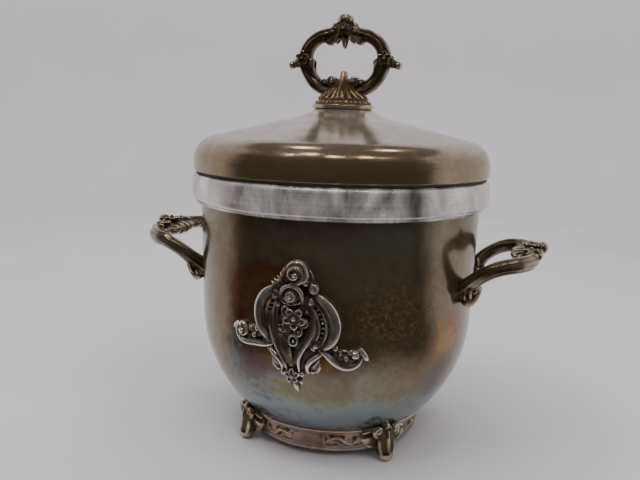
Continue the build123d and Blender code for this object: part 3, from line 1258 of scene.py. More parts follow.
@dataclass
class Vessel:
    """The spun bowl and the bright collar folded over its rim. Sizes in millimetres."""

    wall: VesselWall
    collar_radius: float
    collar_top: float
    step_foot: float
    collar_foot: float = 153.5
    collar_lip: float = 81.5
    top_round: float = 3.4
    foot_round: float = 3.0
    step_radius: float = 93.0  # a small step under the collar
    sheet: float = 1.2

    @classmethod
    def of_frame(cls) -> "Vessel":
        """Reads the vessel's overall sizes from the CAD nodes."""
        shell, collar = Extent.of("body_shell"), Extent.of("collar_band")
        wall = VesselWall(shell.high.x, shell.high.z, shell.low.z)
        return cls(wall, collar.high.x, collar.high.z, collar.low.z)

    def build(self, finishes: Finishes) -> None:
        """Makes the bowl and its collar.

        Args:
            finishes: The shared finishes.
        """
        bowl = turned(self.wall.outline().thickened(self.sheet), 192)
        outline = Outline(self.collar_lip, self.collar_top)
        outline.line(self.collar_radius - self.top_round, self.collar_top, 4)
        outline.sweep(self.collar_radius, self.collar_top - self.top_round, 8)
        outline.line(self.collar_radius, self.collar_foot + self.foot_round, 4)
        outline.sweep(self.collar_radius - self.foot_round, self.collar_foot, 8)
        band = turned(outline.thickened(self.sheet), 192)
        step = Outline(self.step_radius - 0.6, self.collar_foot + 1.0)
        step.line(self.step_radius, self.collar_foot)
        step.line(self.step_radius - 0.4, self.step_foot + 0.5)
        step.line(self.step_radius - 1.2, self.step_foot)
        step.line(self.wall.rim_radius - 0.4, self.step_foot)
        step.line(self.wall.rim_radius - 0.4, self.collar_foot + 1.0)
        step.line(self.step_radius - 0.6, self.collar_foot + 1.0)
        collar = join([band, turned(step, 192)])
        hand_over(bowl, "vessel_bowl", Body.BUCKET, Slot.TARNISHED, finishes.body, "body_shell")
        hand_over(collar, "collar", Body.BUCKET, Slot.BRIGHT, finishes.collar, "collar_band")


@dataclass
class Lid:
    """The spun, domed lid. Sizes in millimetres."""

    radius: float
    edge: float
    crown: float
    crown_radius: float = 18.0
    neck_radius: float = 32.0
    neck: float = 205.35
    band: float = 6.0
    slope_radius: float = 82.55
    slope_foot: float = 193.2
    sheet: float = 1.0

    @classmethod
    def of_frame(cls) -> "Lid":
        """Reads the lid's overall sizes from its CAD node."""
        shell = Extent.of("lid_shell")
        return cls(shell.high.x, shell.low.z, shell.high.z)

    def build(self, finishes: Finishes) -> None:
        """Makes the lid.

        Args:
            finishes: The shared finishes.
        """
        outline = Outline(self.radius - 0.5, self.edge)
        outline.line(self.radius, self.edge + 0.6)
        outline.line(self.radius, self.edge + self.band, 4)
        outline.sweep(self.slope_radius, self.slope_foot, 18)
        outline.line(self.neck_radius, self.neck, 10)
        outline.sweep(self.crown_radius, self.crown, 8)
        outline.line(0.0, self.crown, 3)
        dome = turned(outline.thickened(-self.sheet), 192)
        hand_over(dome, "lid_dome", Body.LID, Slot.TARNISHED, finishes.lid, "lid_shell")


@dataclass
class Cartouches:
    """The cast cartouches, front and back: scrolls, flowers and a fluted stem. Sizes in millimetres."""

    wall: VesselWall
    middle: float
    voxel: float = 0.4

    @classmethod
    def of_frame(cls, wall: VesselWall) -> "Cartouches":
        """Stands them on the vessel's wall, in the middle of their CAD nodes."""
        node = Extent.of("cartouche_front")
        return cls(wall, (node.low.z + node.high.z) / 2)

    def plate(self, wax: WaxPattern) -> None:
        """Lays the plate that everything stands on.

        Args:
            wax: The pattern.
        """
        wax.bead((0, 14, 0), 12, (1.1, 1.1, 0.17))
        wax.bead((0, -1, 0), 17, (1.15, 0.95, 0.12))
        wax.bead((-0.5, -16.5, 0), 10, (1.2, 1.25, 0.18))
        wax.bead((0, 28, 0), 8.6, (1.15, 1, 0.26))
        wax.bead((-0.3, -30, 0), 5.2, (1, 1.4, 0.32))

    def crest(self, wax: WaxPattern) -> None:
        """Lays the volute, the gadroons, the hooded rosebud and the curls at the top.

        Args:
            wax: The pattern.
        """
        wax.bead((0.4, 31.2, 0.6), 7.2, (1, 1, 0.48))
        wax.scroll((-0.2, 30.4, 3.3), 5.7, -110, 1.45, 1.35, 1.2)
        wax.rope([(-2, 24.6, 2), (4, 26, 2.8), (7, 31, 3), (4, 36.6, 2.4)], [1, 1.5, 1.5, 0.9])
        for k in range(5):
            u, v = -12.4 + 1.7 * k, 23.6 + 1.75 * k
            wax.leaf([(u + 3, v - 2.6, 1.4), (u + 0.8, v + 0.2, 2.9), (u - 1.4, v + 2, 1.8)], 1.5)
        for u, v, size in (
            (9.8, 22.8, 3.3), (5.4, 26, 2.2), (-11.6, 18.2, 2.8), (8.6, 15.6, 2.2), (-9.6, 13.2, 2),
        ):
            wax.bead((u, v, 1.2), size, (1, 1, 0.7))
            wax.scroll((u, v, 2 + 0.25 * size), 0.8 * size, 120, -1.2, 0.32 * size, 0.5)
        hood = [
            (-8, 14.6, 1.8), (-8.4, 20.4, 3), (-3.6, 24.6, 3.6), (1.8, 23.6, 3.6), (4.6, 18.6, 3),
            (3.8, 13.6, 1.8),
        ]
        wax.rope(hood, [0.8, 1.2, 1.4, 1.4, 1.2, 0.8])
        hood = [(-5.6, 19.6, 2.6), (-3, 22.2, 3), (0.4, 21.6, 3), (2.2, 18, 2.4)]
        wax.rope(hood, [0.6, 0.9, 0.9, 0.6])
        wax.bead((-2, 18.2, 1.8), 4.4, (1, 1.05, 0.8))
        wax.scroll((-2.2, 18.6, 4.6), 3.1, 200, 1.7, 0.8, 0.9)
        wax.ring((-1.8, 14.6, 3.2), 1.5, 0.5, (1.5, 0.8, 1.4))
        wax.ring((-5.6, 15.8, 3), 1.4, 0.5, (0.9, 1.2, 1.4))
        wax.ring((1.6, 16, 3), 1.4, 0.5, (0.9, 1.2, 1.4))

    def heart(self, wax: WaxPattern) -> None:
        """Lays the vase with its flowers, and the fluted stem down to the tip.

        Args:
            wax: The pattern.
        """
        left = [
            (-12, 11, 1.8), (-15, 5, 2.4), (-13, -5, 2.8), (-8.6, -14, 3), (-5.2, -20, 2.8), (-4.6, -25, 2),
        ]
        right = [
            (7.4, 12.6, 1.8), (11, 8, 2.4), (11.4, 1, 2.8), (8.4, -6, 3), (4, -13, 3), (1.8, -19, 2.8),
            (2.6, -25, 2),
        ]
        for line in (left, right):
            side = -1 if line is left else 1
            wax.rope(line, [0.6] + [1.15] * (len(line) - 2) + [0.6])
            second = [(u - 2.1 * side, v + 0.3, 0.85 * w) for u, v, w in line[1:-1]]
            wax.rope(second, [0.5] + [0.85] * (len(second) - 2) + [0.5])
        wax.flower((0, 6, 2.4), 6.2, 5, -90)
        wax.flower((-8, -1, 2), 3.3, 5, 60)
        wax.flower((6.8, 10.6, 2), 2.6, 5, 80)
        for u, v, wide, tall in (
            (2.2, -0.8, 2, 2.9), (5.4, 3.6, 1.8, 2.2), (-0.6, -6.6, 2.3, 2.9), (-5.2, 9.8, 1.7, 2.4),
        ):
            wax.ring((u, v, 3), 1, 0.32, (wide, tall, 1.9))
            wax.bead((u, v - 0.5, 2.8), 0.8)
        for k in range(4):
            flute = [
                (-7.6 + 1.5 * k, -5.4 - 0.9 * k, 1.8), (-6.6 + 1.35 * k, -10.4, 2.9),
                (-4.4 + 0.9 * k, -16.6, 2.7), (-2.8 + 0.5 * k, -22.4, 2),
            ]
            wax.rope(flute, [0.5, 0.85, 0.75, 0.4])
        for k in range(3):
            flute = [
                (1.6 + 1.6 * k, -8.4 + 1.2 * k, 1.8), (0.9 + 1.2 * k, -13.2 + 0.8 * k, 2.7),
                (-0.4 + 0.6 * k, -20.6, 2.1),
            ]
            wax.rope(flute, [0.5, 0.8, 0.45])
        wax.flower((-1.6, -27.4, 2.2), 4.4, 5, 18)
        for side in (-1, 1):
            wax.leaf(
                [(side * 1.2 - 0.6, -30.5, 1.2), (side * 4.6 - 0.6, -30.4, 2.4), (side * 3.4, -34, 1)],
                1.8,
                0.5,
            )
            wax.bead((side * 5.6 - 1.4, -26.6, 1.8), 1.5)
        wax.leaf([(-0.6, -31, 1.8), (0.2, -35, 2.4), (0.9, -39.2, 0.4)], 2.2, 0.6)

    def frame_scrolls(self, wax: WaxPattern) -> None:
        """Lays the broad scrolls down both sides, with ridges and a row of beads inside them.

        Args:
            wax: The pattern.
        """
        right = [
            (9.6, 20.6), (13.2, 18.4), (18.2, 13.6), (21.4, 7.6), (22.4, 1.2), (21, -5.4), (17.4, -9.8),
            (13.2, -11.6),
        ]
        left = [
            (-10.2, 23), (-13.6, 21.2), (-18.2, 17.4), (-20.8, 11.4), (-21, 4.4), (-19.4, -2), (-16.2, -7.2),
            (-12.8, -10),
        ]
        rise = [1.2, 2.2, 2.8, 3, 3, 2.8, 2.2, 1.4]
        for line in (right, left):
            side = 1 if line is right else -1
            outer = [(u, v, w) for (u, v), w in zip(line, rise)]
            wax.rope(outer, [1.2, 2.3, 2.9, 3.1, 3.1, 2.8, 2.1, 1.2], 0.72)
            ridge = [(u + side * 1.9, v + 0.3, w + 0.6) for u, v, w in outer[1:-1]]
            wax.rope(ridge, [0.4, 0.7, 0.8, 0.8, 0.7, 0.4])
            for shift, bar in ((4.6, 1), (8.9, 0.95), (10.8, 0.6)):
                inner = [(u - side * shift, v - 0.06 * shift, 0.8 * w) for u, v, w in outer[1:-1]]
                wax.rope(inner, [0.6, bar, 1.15 * bar, 1.15 * bar, bar, 0.6])
            middle = [(u - side * 6.8, v - 0.4, 0.72 * w) for u, v, w in outer[1:-1]]
            for k in range(13):
                share = k / 12 * (len(middle) - 1.001)
                a, b = middle[int(share)], middle[int(share) + 1]
                part = share - int(share)
                u, v, w = (p + (q - p) * part for p, q in zip(a, b))
                wax.bead((u, v, w), 0.72)
            wax.scroll((line[-1][0] - side * 1.8, line[-1][1] + 2.6, 1.8), 2.6, -90, -side * 1.2, 1.1, 1.2)
            foot = [
                (side * 16, -13, 1.4), (side * 11.6, -15.4, 2.6), (side * 8.2, -18.6, 2.8),
                (side * 6.6, -22.8, 2.2), (side * 8, -26, 1.2),
            ]
            wax.rope(foot, [0.9, 1.5, 1.6, 1.3, 0.7])
            foot = [(side * 13.6, -17, 1), (side * 11.2, -19.6, 2), (side * 10, -23, 1.2)]
            wax.rope(foot, [0.8, 1.3, 0.7])
            wax.bead((side * 9.8, -21, 0), 6, (0.75, 1, 0.28), side * 30)
            wax.bead((side * 10.2, -24.6, 1), 1.5)

    def wings(self, wax: WaxPattern) -> None:
        """Lays the wings that reach out low on each side.

        Args:
            wax: The pattern.
        """
        sweep = [
            (13.5, -10.5, 1.4), (17.6, -13.4, 2.2), (21.6, -17.4, 2.6), (27, -20.8, 2.6), (33, -20.2, 2.4),
            (36.6, -16.2, 2.2), (35.6, -12.2, 1.6),
        ]
        wax.rope(sweep, [1.2, 1.8, 2, 1.9, 1.7, 1.4, 0.8])
        wax.rope(
            [
                (21.6, -10.6, 1.2), (22.6, -14.6, 2.2), (26.4, -18, 2.4), (31.4, -17.8, 2.2),
                (33.6, -15.2, 1.8),
            ],
            [0.9, 1.2, 1.3, 1.1, 0.6],
        )
        for u, v, size in (
            (33.2, -13.6, 2.7), (28, -15.8, 2.1), (22.2, -10, 1.8), (15.2, -12.8, 1.6), (18.8, -15.8, 1.5),
        ):
            wax.bead((u, v, 1.4), size)
        wax.leaf([(34.8, -10.6, 1.4), (38, -13.8, 2.4), (40.4, -17.2, 1)], 2.8, 0.7)
        for u, v, size in ((30.8, -12.4, 1.5), (24.8, -13, 1.6), (28.6, -19.6, 1.2)):
            wax.scroll((u, v, 1.8), size, 60, 1.2, 0.6, 0.6)
        wax.bead((27, -16, 0), 10, (1.1, 0.5, 0.2), -12)
        sweep = [
            (-12.5, -10.2, 1.4), (-17, -11.6, 2.4), (-23, -11.4, 2.6), (-29, -12.2, 2.6), (-35, -11.8, 2.2),
            (-38.6, -7.6, 1.6),
        ]
        wax.rope(sweep, [1.2, 1.8, 1.9, 1.9, 1.6, 0.8])
        wax.scroll((-32.6, -6.2, 2), 4.6, 190, -1.3, 1.5, 1.6)
        for u, v, size in (
            (-33.2, -3, 2.4), (-22.4, -3.4, 2), (-18.2, -2.8, 1.9), (-17.2, -8.6, 1.8), (-24.6, -7.6, 1.9),
            (-13.8, -8.6, 1.6), (-20.8, -6.6, 1.4),
        ):
            wax.bead((u, v, 1.6), size)
        wax.leaf([(-36, -2.8, 1.4), (-39, -4.6, 2.2), (-41, -6.6, 1)], 2.4, 0.6)
        for u, v, size in ((-27.4, -4.2, 1.6), (-28.4, -9, 1.3), (-36.4, -9.4, 1.2)):
            wax.scroll((u, v, 1.8), size, 120, -1.2, 0.6, 0.6)
        wax.bead((-26, -7.4, 0), 11, (1.15, 0.5, 0.18), 4)

    def build(self, finishes: Finishes) -> None:
        """Casts one cartouche and stands it on the front and on the back.

        Args:
            finishes: The shared finishes.
        """
        wax = WaxPattern()
        for lay_out in (self.plate, self.crest, self.heart, self.frame_scrolls, self.wings):
            lay_out(wax)
        wax.lay(self.wall.ground(-90, self.middle))
        front = wax.fuse(self.voxel)
        rear = turn_about_axis(copy_of(front), 180)
        for side, casting in (("front", front), ("rear", rear)):
            name, node = f"cartouche_casting_{side}", f"cartouche_{side}"
            hand_over(casting, name, Body.BUCKET, Slot.CASTING, finishes.cartouche, node)


@dataclass
class Foot:
    """The cast foot ring and its four scrolled feet. Sizes in millimetres."""

    ring_foot: float
    bowl: VesselWall
    azimuths: dict[str, float]
    ring_foot_radius: float = 54.5
    ring_top_radius: float = 60.0
    ring_top: float = 20.2
    ring_wall: float = 3.0
    ring_grain: float = 0.56
    foot_grain: float = 0.45

    @classmethod
    def of_frame(cls, bowl: VesselWall) -> "Foot":
        """Reads the ring's foot and the feet's places from the CAD nodes.

        Args:
            bowl: The outside of the bowl that it carries.

        Returns:
            The foot.
        """
        ring = Extent.of("foot_ring")
        azimuths = {}
        for name in ("foot_rear_right", "foot_rear_left", "foot_front_left", "foot_front_right"):
            foot = Extent.of(name)
            middle = (foot.low + foot.high) / 2
            azimuths[name] = math.degrees(math.atan2(middle.y, middle.x))
        return cls(ring.low.z, bowl, azimuths)

    def build_ring(self, finishes: Finishes) -> None:
        """Casts the ring, with a panel of scrollwork on each side of a plain one between every two feet.

        Args:
            finishes: The shared finishes.
        """
        foot, top = (self.ring_foot_radius, self.ring_foot), (self.ring_top_radius, self.ring_top)
        outline = Outline(foot[0] - self.ring_wall, foot[1])
        outline.line(*foot).line(*top, 6).line(top[0] - 1.6, top[1] + 0.8)
        outline.line(top[0] - self.ring_wall, top[1] - 0.4)
        outline.line(foot[0] - self.ring_wall, foot[1], 6)
        wax = WaxPattern()
        wax.laid.append(turned(outline, 160))
        outside = np.array(self.bowl.outline().points)[::-1]
        inner = top[0] - self.ring_wall
        under = float(np.interp(inner, outside[:, 0], outside[:, 1]))
        shoulder = Outline(inner - 1, top[1] - 3)
        shoulder.line(top[0] - 0.8, top[1] - 1).line(inner + 0.6, under + 0.3).line(inner - 1, under - 1.4)
        shoulder.line(inner - 1, top[1] - 3)
        wax.laid.append(turned(shoulder, 160))
        mouldings = (
            (foot[1] + 1.2, foot[0] + 0.4, 1.25),
            (foot[1] + 3.2, foot[0] + 1, 0.6),
            (top[1] - 0.7, top[0], 1.3),
            (top[1] - 3, top[0] - 0.7, 0.6),
        )
        for height, radius, bar in mouldings:
            bpy.ops.mesh.primitive_torus_add(
                major_segments=160,
                minor_segments=8,
                major_radius=radius * MM,
                minor_radius=bar * MM,
                location=(0, 0, height * MM),
            )
            settle(bpy.context.object)
            wax.laid.append(bpy.context.object)
        middle = (foot[1] + top[1]) / 2
        wax.rope([(9.2, middle + 4.6, 0.3), (8.2, middle, 0.9), (9.2, middle - 4.6, 0.3)], [0.5, 0.8, 0.5])
        wave = [
            (10, middle - 2.8, 0.3), (14, middle + 2.4, 1), (18, middle + 2.6, 1.2),
            (21.5, middle - 1.6, 1.2), (26, middle - 3.2, 0.8), (30, middle, 0.4),
        ]
        wax.rope(wave, [0.7, 1.1, 1.2, 1.2, 1.1, 0.7])
        wax.scroll((13.8, middle - 0.8, 0.4), 2.9, 80, 1.2, 0.85, 0.7)
        wax.scroll((22.6, middle + 1.8, 0.4), 3, 250, 1.2, 0.85, 0.7)
        wax.scroll((28.6, middle - 0.6, 0.4), 2.6, 90, -1.2, 0.8, 0.7)
        wax.leaf([(16, middle - 1, 0.3), (18.2, middle - 3.4, 0.9), (21, middle - 4.6, 0.3)], 1.1, 0.4)
        wax.leaf([(24.8, middle + 4.6, 0.3), (27.6, middle + 3.2, 0.9), (31, middle + 3.8, 0.3)], 1.1, 0.4)
        for u, v, radius in ((17.2, 0.4, 0.9), (25.2, 0.2, 0.8), (19.8, 4.4, 0.7), (11, 2.8, 0.8)):
            wax.bead((u, middle + v, 0.6), radius)
        wax.mirror()
        for azimuth in (0, 90, 180, 270):
            wax.lay(on_cone(foot, top, azimuth), keep_flat=True)
        wax.clear()
        ring = wax.fuse(self.ring_grain)
        hand_over(ring, "foot_ring_casting", Body.BUCKET, Slot.CASTING, finishes.ring, "foot_ring")

    def build_feet(self, finishes: Finishes) -> None:
        """Casts one foot and sets it at the four places.

        Args:
            finishes: The shared finishes.
        """
        wax = WaxPattern()
        leg = [(0, 18, 58), (0, 13.4, 60.2), (0, 8.8, 62), (0, 4, 64.6)]
        wax.rope(leg, [9.2, 7.8, 5.9, 4.7])
        wax.bead((0, 3.9, 64.8), 4.8, (1, 0.85, 1))
        wax.rope([(0, 19, 66), (0, 13.6, 67), (0, 8.4, 67), (0, 4.8, 68.2)], [1.2, 1.7, 1.5, 1])
        wax.rope([(4, 17.4, 64), (5, 11.6, 64.4), (3.4, 5.4, 65.8)], [1.6, 2.1, 1.4])
        wax.scroll((5.6, 19.2, 64.2), 3.4, -80, 1.3, 1.6, 1.4)
        wax.bead((9.6, 15.2, 60), 4.4, (1.4, 0.9, 0.8), -14)
        wax.rope([(5.8, 16.6, 63), (10.4, 16.2, 63.2), (15, 14.2, 60.2)], [1.2, 1.5, 0.8])
        wax.rope([(6.2, 13.6, 62.6), (10, 12.6, 62.4), (13.4, 11, 59.6)], [1.1, 1.4, 0.8])
        wax.bead((7.2, 10.4, 59.8), 3.2, (1.3, 0.9, 0.8), -20)
        wax.rope([(3.6, 20.8, 63), (9.2, 20.4, 62.4), (14.6, 18.4, 60.4)], [1.5, 2, 1.1])
        wax.mirror()
        wax.bead((0, 21.6, 63.2), 2.9, (1.15, 1, 1))
        wax.lay(facing((0, 0, 0), (0, 1, 0), (0, 0, 1)))
        pattern = wax.fuse(self.foot_grain, sole=0)
        castings = [*(copy_of(pattern) for _ in range(len(self.azimuths) - 1)), pattern]
        for casting, (node, azimuth) in zip(castings, self.azimuths.items()):
            turn_about_axis(casting, azimuth)
            hand_over(casting, f"{node}_casting", Body.BUCKET, Slot.CASTING, finishes.dark_casting, node)

    def build(self, finishes: Finishes) -> None:
        """Makes the ring and the feet.

        Args:
            finishes: The shared finishes.
        """
        self.build_ring(finishes)
        self.build_feet(finishes)


@dataclass
class Handles:
    """The two cast loop handles, each a scrolled bar with flowers at its middle. Sizes in millimetres."""

    reach: float
    root: tuple[float, float, float] = (84.0, 29.0, 107.3)
    voxel: float = 0.42

    @classmethod
    def of_frame(cls) -> "Handles":
        """Reads the handles' reach from the CAD node."""
        return cls(Extent.of("handle_right").high.x)

    def build(self, finishes: Finishes) -> None:
        """Casts the right handle, and turns a copy of it round for the left.

        Args:
            finishes: The shared finishes.
        """
        x, y, z = self.root
        bar = self.reach - 10
        half = [
            (x, -y, z), (x + 4.6, -y - 4.6, z + 4.6), (x + 11.6, -y - 9, z + 12.3),
            (x + 21.5, -y - 9.2, z + 17.4), (x + 31.5, -y - 5.6, z + 18.8), (bar, -y + 6, z + 19.2),
            (bar, -y + 17, z + 20), (bar, 0, z + 20.2),
        ]
        wax = WaxPattern()
        # the bench's u, v and w are the vessel's own Y, Z and X here
        # the bar comes first, then a ridge under it and one on top of it
        for spread, drop, out, radii in (
            (1, 0, 0, [5.6, 5, 4.2, 4, 4.5, 4.4, 4.1, 4.1]),
            (1.015, 2.6, 0.9, [2.6, 2.4, 2, 1.9, 2.2, 2.2, 2, 2]),
            (0.985, -2.9, 0.3, [2, 1.9, 1.7, 1.6, 1.8, 1.8, 1.7, 1.7]),
        ):
            wax.rope([(q * spread, r - drop, p + out) for p, q, r in half], radii)
        wax.bead((-y, z, x + 1.4), 6.4, (1, 1.05, 0.75))
        for lift, radius in ((0, 6.2), (3.2, 5.9)):
            wax.ring((-y - 0.9 * lift, z + 0.7 * lift, x + 2.4 + lift), radius, 1)
        wax.rope([(-y, z + 3, x + 6), (-y, z - 3.6, x + 5.4), (-y, z - 9, x + 2.6)], [6.4, 6.2, 3.2])
        for side in (-1, 0, 1):
            front = x + 10.4 - 1.6 * abs(side)
            rib = [(-y + 3.4 * side, z + 1.6, front), (-y + 3.6 * side, z - 3.6, front)]
            wax.rope([*rib, (-y + 1.8 * side, z - 9, x + 5)], [1, 1.5, 0.9])
        wax.bead((-y - 5.4, z + 1.6, x + 7), 2.4)
        wax.bead((-y + 5.4, z + 0.6, x + 6.4), 2.2)
        wax.scroll((-y - 6, z + 7.4, x + 9), 3.6, -60, -1.2, 1.3, 1.2)
        wax.lay(facing((0, 0, 0), (0, 1, 0), (0, 0, 1)))
        # from here u, v and w are Y, -X and Z, so that the flowers look up
        top = z + 23.6
        wax.flower((-12.4, -bar + 0.6, top - 0.4), 5.2, 5, 20)
        wax.bead((-9, -bar + 2.4, top - 4.4), 6.2, (1.4, 1, 0.7))
        wax.bead((-20, -bar + 1, top - 4.6), 5.2, (1.5, 1, 0.7))
        wax.scroll((-19.8, -bar + 1, top - 1.6), 3.8, 200, 1.3, 1.5, 1.4)
        wax.leaf(
            [(-20, -bar - 1.5, top - 2), (-26, -bar + 1, top - 1.2), (-31, -bar + 7.5, top - 4)], 3.3, 0.9
        )
        wax.bead((-25.6, -bar + 5, top - 5.4), 4, (1.5, 1, 0.8), -30)
        wax.bead((-9.6, -bar + 6.6, top - 4.6), 4.6, (1.2, 1.1, 0.8))
        wax.bead((-3.4, -bar + 6.8, top - 4.8), 4.6, (1, 1.2, 0.9))
        for u, v in ((-27.6, 7), (-22.6, 5.8), (-17.8, 6.2), (-12.6, 8.8), (-7.4, 9.8), (-2.2, 9.6)):
            wax.scroll((u, -bar + v, top - 3.6), 2.3, 90, 1.2, 0.9, 0.9)
        wax.bead((-15.6, -bar + 6.4, top - 4.2), 2.4)
        wax.bead((-16.8, -bar - 3.8, top - 2.4), 2.2)
        wax.rope(
            [(-16, -bar - 3.6, top - 2.6), (-9, -bar - 5.6, top - 1.6), (-2, -bar - 4.4, top - 0.6)],
            [1.4, 2.4, 1.8],
        )
        wax.mirror()
        wax.flower((0, -bar, top + 0.8), 6, 6, 90)
        wax.bead((0, -self.reach + 4.2, top + 0.4), 4, (1.15, 1, 1))
        wax.ring((0, -self.reach + 6.4, top - 0.6), 2.6, 1)
        wax.lay(facing((0, 0, 0), (0, 1, 0), (-1, 0, 0)))
        wax.laid.append(mirrored(wax.laid[0], (1, -1, 1)))
        right = wax.fuse(self.voxel)
        left = turn_about_axis(copy_of(right), 180)
        for side, casting in (("right", right), ("left", left)):
            name, node = f"handle_casting_{side}", f"handle_{side}"
            hand_over(casting, name, Body.BUCKET, Slot.CASTING, finishes.dark_casting, node)


@dataclass
class Finial:
    """The cast loop that lifts the lid, on its fluted bell. Sizes in millimetres."""

    seat: float
    top: float
    voxel: float = 0.42

    @classmethod
    def of_frame(cls) -> "Finial":
        """Reads the finial's seat and top from its CAD node."""
        node = Extent.of("finial")
        return cls(node.low.z, node.high.z)

    def arms(self, wax: WaxPattern) -> None:
        """Lays one scrolled arm, drawn as a core between an outer and an inner roll.

        Args:
            wax: The pattern, with u across, v up and w forwards.
        """
        line = [
            (4.6, 19), (4.8, 15.4), (8.2, 12.2), (13.4, 12.4), (19.2, 16.4), (23.8, 23.2), (25.8, 30.4),
            (24.6, 36.6), (21, 41.6), (15.4, 45), (9.4, 46.4), (0, 46.6),
        ]
        middle = np.array(line)
        along = np.gradient(middle, axis=0)
        along /= np.linalg.norm(along, axis=1)[:, None]
        out = np.stack([along[:, 1], -along[:, 0]], axis=1)
        core = [(u, v, 0) for u, v in middle]
        wax.rope(core, [1.6, 2, 2.5, 2.9, 3.1, 3.1, 3, 2.8, 2.6, 2.4, 2.2, 2.2])
        for offset, lift, radii in (
            (2.5, 1, [0.9, 1, 1.3, 1.7, 2, 2.1, 2, 1.9, 1.8, 1.6, 1.4, 1.4]),
            (-2.5, 1, [0.7, 0.8, 1.1, 1.4, 1.7, 1.8, 1.7, 1.6, 1.5, 1.3, 1.2, 1.2]),
            (0.7, 2.5, [0.5, 0.6, 0.7, 0.8, 0.9, 0.9, 0.9, 0.9, 0.8, 0.7, 0.7, 0.7]),
        ):
            for w in (lift, -lift):
                wax.rope([(u, v, w) for u, v in middle + offset * out], radii)
        wax.scroll((7, 17.6, 2.2), 3.2, -120, 1.3, 1.3, 1.2)
        wax.scroll((11.6, 16.6, 1.8), 2.2, -60, 1.2, 1, 0.8)
        wax.scroll((9.4, 42.2, 1.2), 2.7, 60, -1.2, 1.1, 0.8)
        wax.scroll((13.8, 43.2, 1), 2.1, 60, -1.2, 0.9, 0.8)
        wax.leaf([(13.6, 12.6, 1.6), (18.4, 16.4, 3.4), (22.6, 21.6, 1.8)], 2, 0.6)
        wax.leaf([(22.4, 31, 1.8), (20.6, 27, 3), (19.4, 22.4, 1.4)], 2, 0.6)
        wax.scroll((21.4, 28.4, 2), 2.2, 90, 1.1, 0.9, 0.8)
        wax.flower((26.4, 31.4, 3), 4.4, 5, 90)
        wax.rope([(26.2, 30.6, 0), (29.8, 28.8, 0), (33.8, 27.4, 0)], [4.4, 3.5, 2])
        wax.bead((34.6, 27.2, 0), 2.6)

    def crest(self, wax: WaxPattern) -> None:
        """Lays the right half of the crest: a curl at its peak, then buds, beads and leaves.

        Args:
            wax: The pattern.
        """
        peak = self.top - self.seat
        wax.bead((1.2, peak - 4.2, 0), 4, (1, 1, 0.95))
        wax.scroll((2, peak - 3.9, 1.6), 2.5, 200, -1.2, 1, 0.8)
        wax.rope([(2, peak - 13, 0), (2, peak - 8, 0.4), (2, peak - 4.6, 0.2)], [4.4, 3.2, 2])
        wax.bead((5.2, peak - 9.4, 0), 2.9)
        wax.bead((7.8, peak - 12, 0), 3.3, (1.2, 1, 1))
        wax.scroll((6.6, peak - 11.2, 2.2), 2.4, 40, 1.2, 0.9, 0.9)
        wax.leaf([(3.4, peak - 12.4, 1.4), (6.8, peak - 9.6, 2.6), (7.4, peak - 6.2, 0.8)], 2.3, 0.7)
        wax.bead((6.2, peak - 6.9, 0.6), 1.5)
        wax.bead((8.4, peak - 9.6, 0.6), 1.5)
        wax.leaf([(2, peak - 12, 2), (5.4, peak - 14.8, 3.2), (5.4, peak - 18.2, 1.4)], 2.7, 0.8)
        wax.leaf([(2.6, peak - 13.6, 1.4), (7.4, peak - 15.8, 2.8), (12.2, peak - 17, 1.2)], 2.8, 0.8)
        wax.bead((8.8, peak - 16.8, 1.2), 1.8)
        wax.leaf([(4.6, peak - 12.6, 1.6), (9.4, peak - 13.6, 2.6), (12.8, peak - 12, 0.8)], 1.9, 0.6)

    def bell(self, wax: WaxPattern) -> None:
        """Lays the right half of one face of the fluted bell.

        Args:
            wax: The pattern.
        """
        for k in range(5):
            turn = math.radians(11 + 17.5 * k)
            flute = []
            for reach, height, swirl in (
                (2, 21 - 0.4 * k, 0.5),
                (5.6, 15.4 - 0.3 * k, 0.75),
                (10.6, 10.2, 0.95),
                (15.8, 5.8, 1.05),
            ):
                flute.append((reach * math.sin(turn * swirl), height, reach * math.cos(turn * swirl)))
            wax.rope(flute, [0.8, 1.4, 1.7, 1.3])

    def build(self, finishes: Finishes) -> None:
        """Casts the finial in two metals' looks: a dark loop and a gold-brown base.

        Args:
            finishes: The shared finishes.
        """
        seat, right, left, up = (0, 0, self.seat), (1, 0, 0), (-1, 0, 0), (0, 0, 1)
        deep = 1.35  # the loop is this much thicker than it is drawn
        loop = WaxPattern()
        self.arms(loop)
        self.crest(loop)
        loop.mirror()
        peak = self.top - self.seat
        loop.flower((0, peak - 9.2, 3.2), 3.2, 6, 90)
        loop.leaf([(0, peak - 12, 2.2), (0, peak - 16.5, 3.2), (0, peak - 21.4, 1.2)], 2.2, 0.7)
        loop.lay(facing(seat, right, up, deep), keep_flat=True)
        loop.lay(facing(seat, left, up, deep))
        ring = loop.fuse(self.voxel)
        bell = Outline(0, self.seat)
        bell.line(18.6, self.seat)
        bell.line(19.4, self.seat + 1).sweep(18.6, self.seat + 2.6, 5)
        bell.line(16.6, self.seat + 3).line(16.2, self.seat + 4.8)
        for radius, rise in (
            (14, 7), (10.6, 9.8), (8.2, 11.8), (5.9, 14.6), (3.9, 17.6), (2.3, 20.4), (0, 22),
        ):
            bell.line(radius, self.seat + rise)
        base = WaxPattern()
        base.laid.append(turned(bell, 96))
        for k in range(36):
            angle = math.radians(10 * k)
            base.bead((17 * math.sin(angle), 3.8, 17 * math.cos(angle)), 1.15)
        base.lay(facing(seat, right, up))
        self.bell(base)
        base.mirror()
        base.rope([(0, 22.8, 0.6), (0, 16.2, 4.8), (0, 10.2, 10.6), (0, 5.8, 16)], [2.2, 1.9, 1.8, 1.2])
        base.lay(facing(seat, right, up), keep_flat=True)
        base.lay(facing(seat, left, up))
        foot = base.fuse(self.voxel, sole=self.seat)
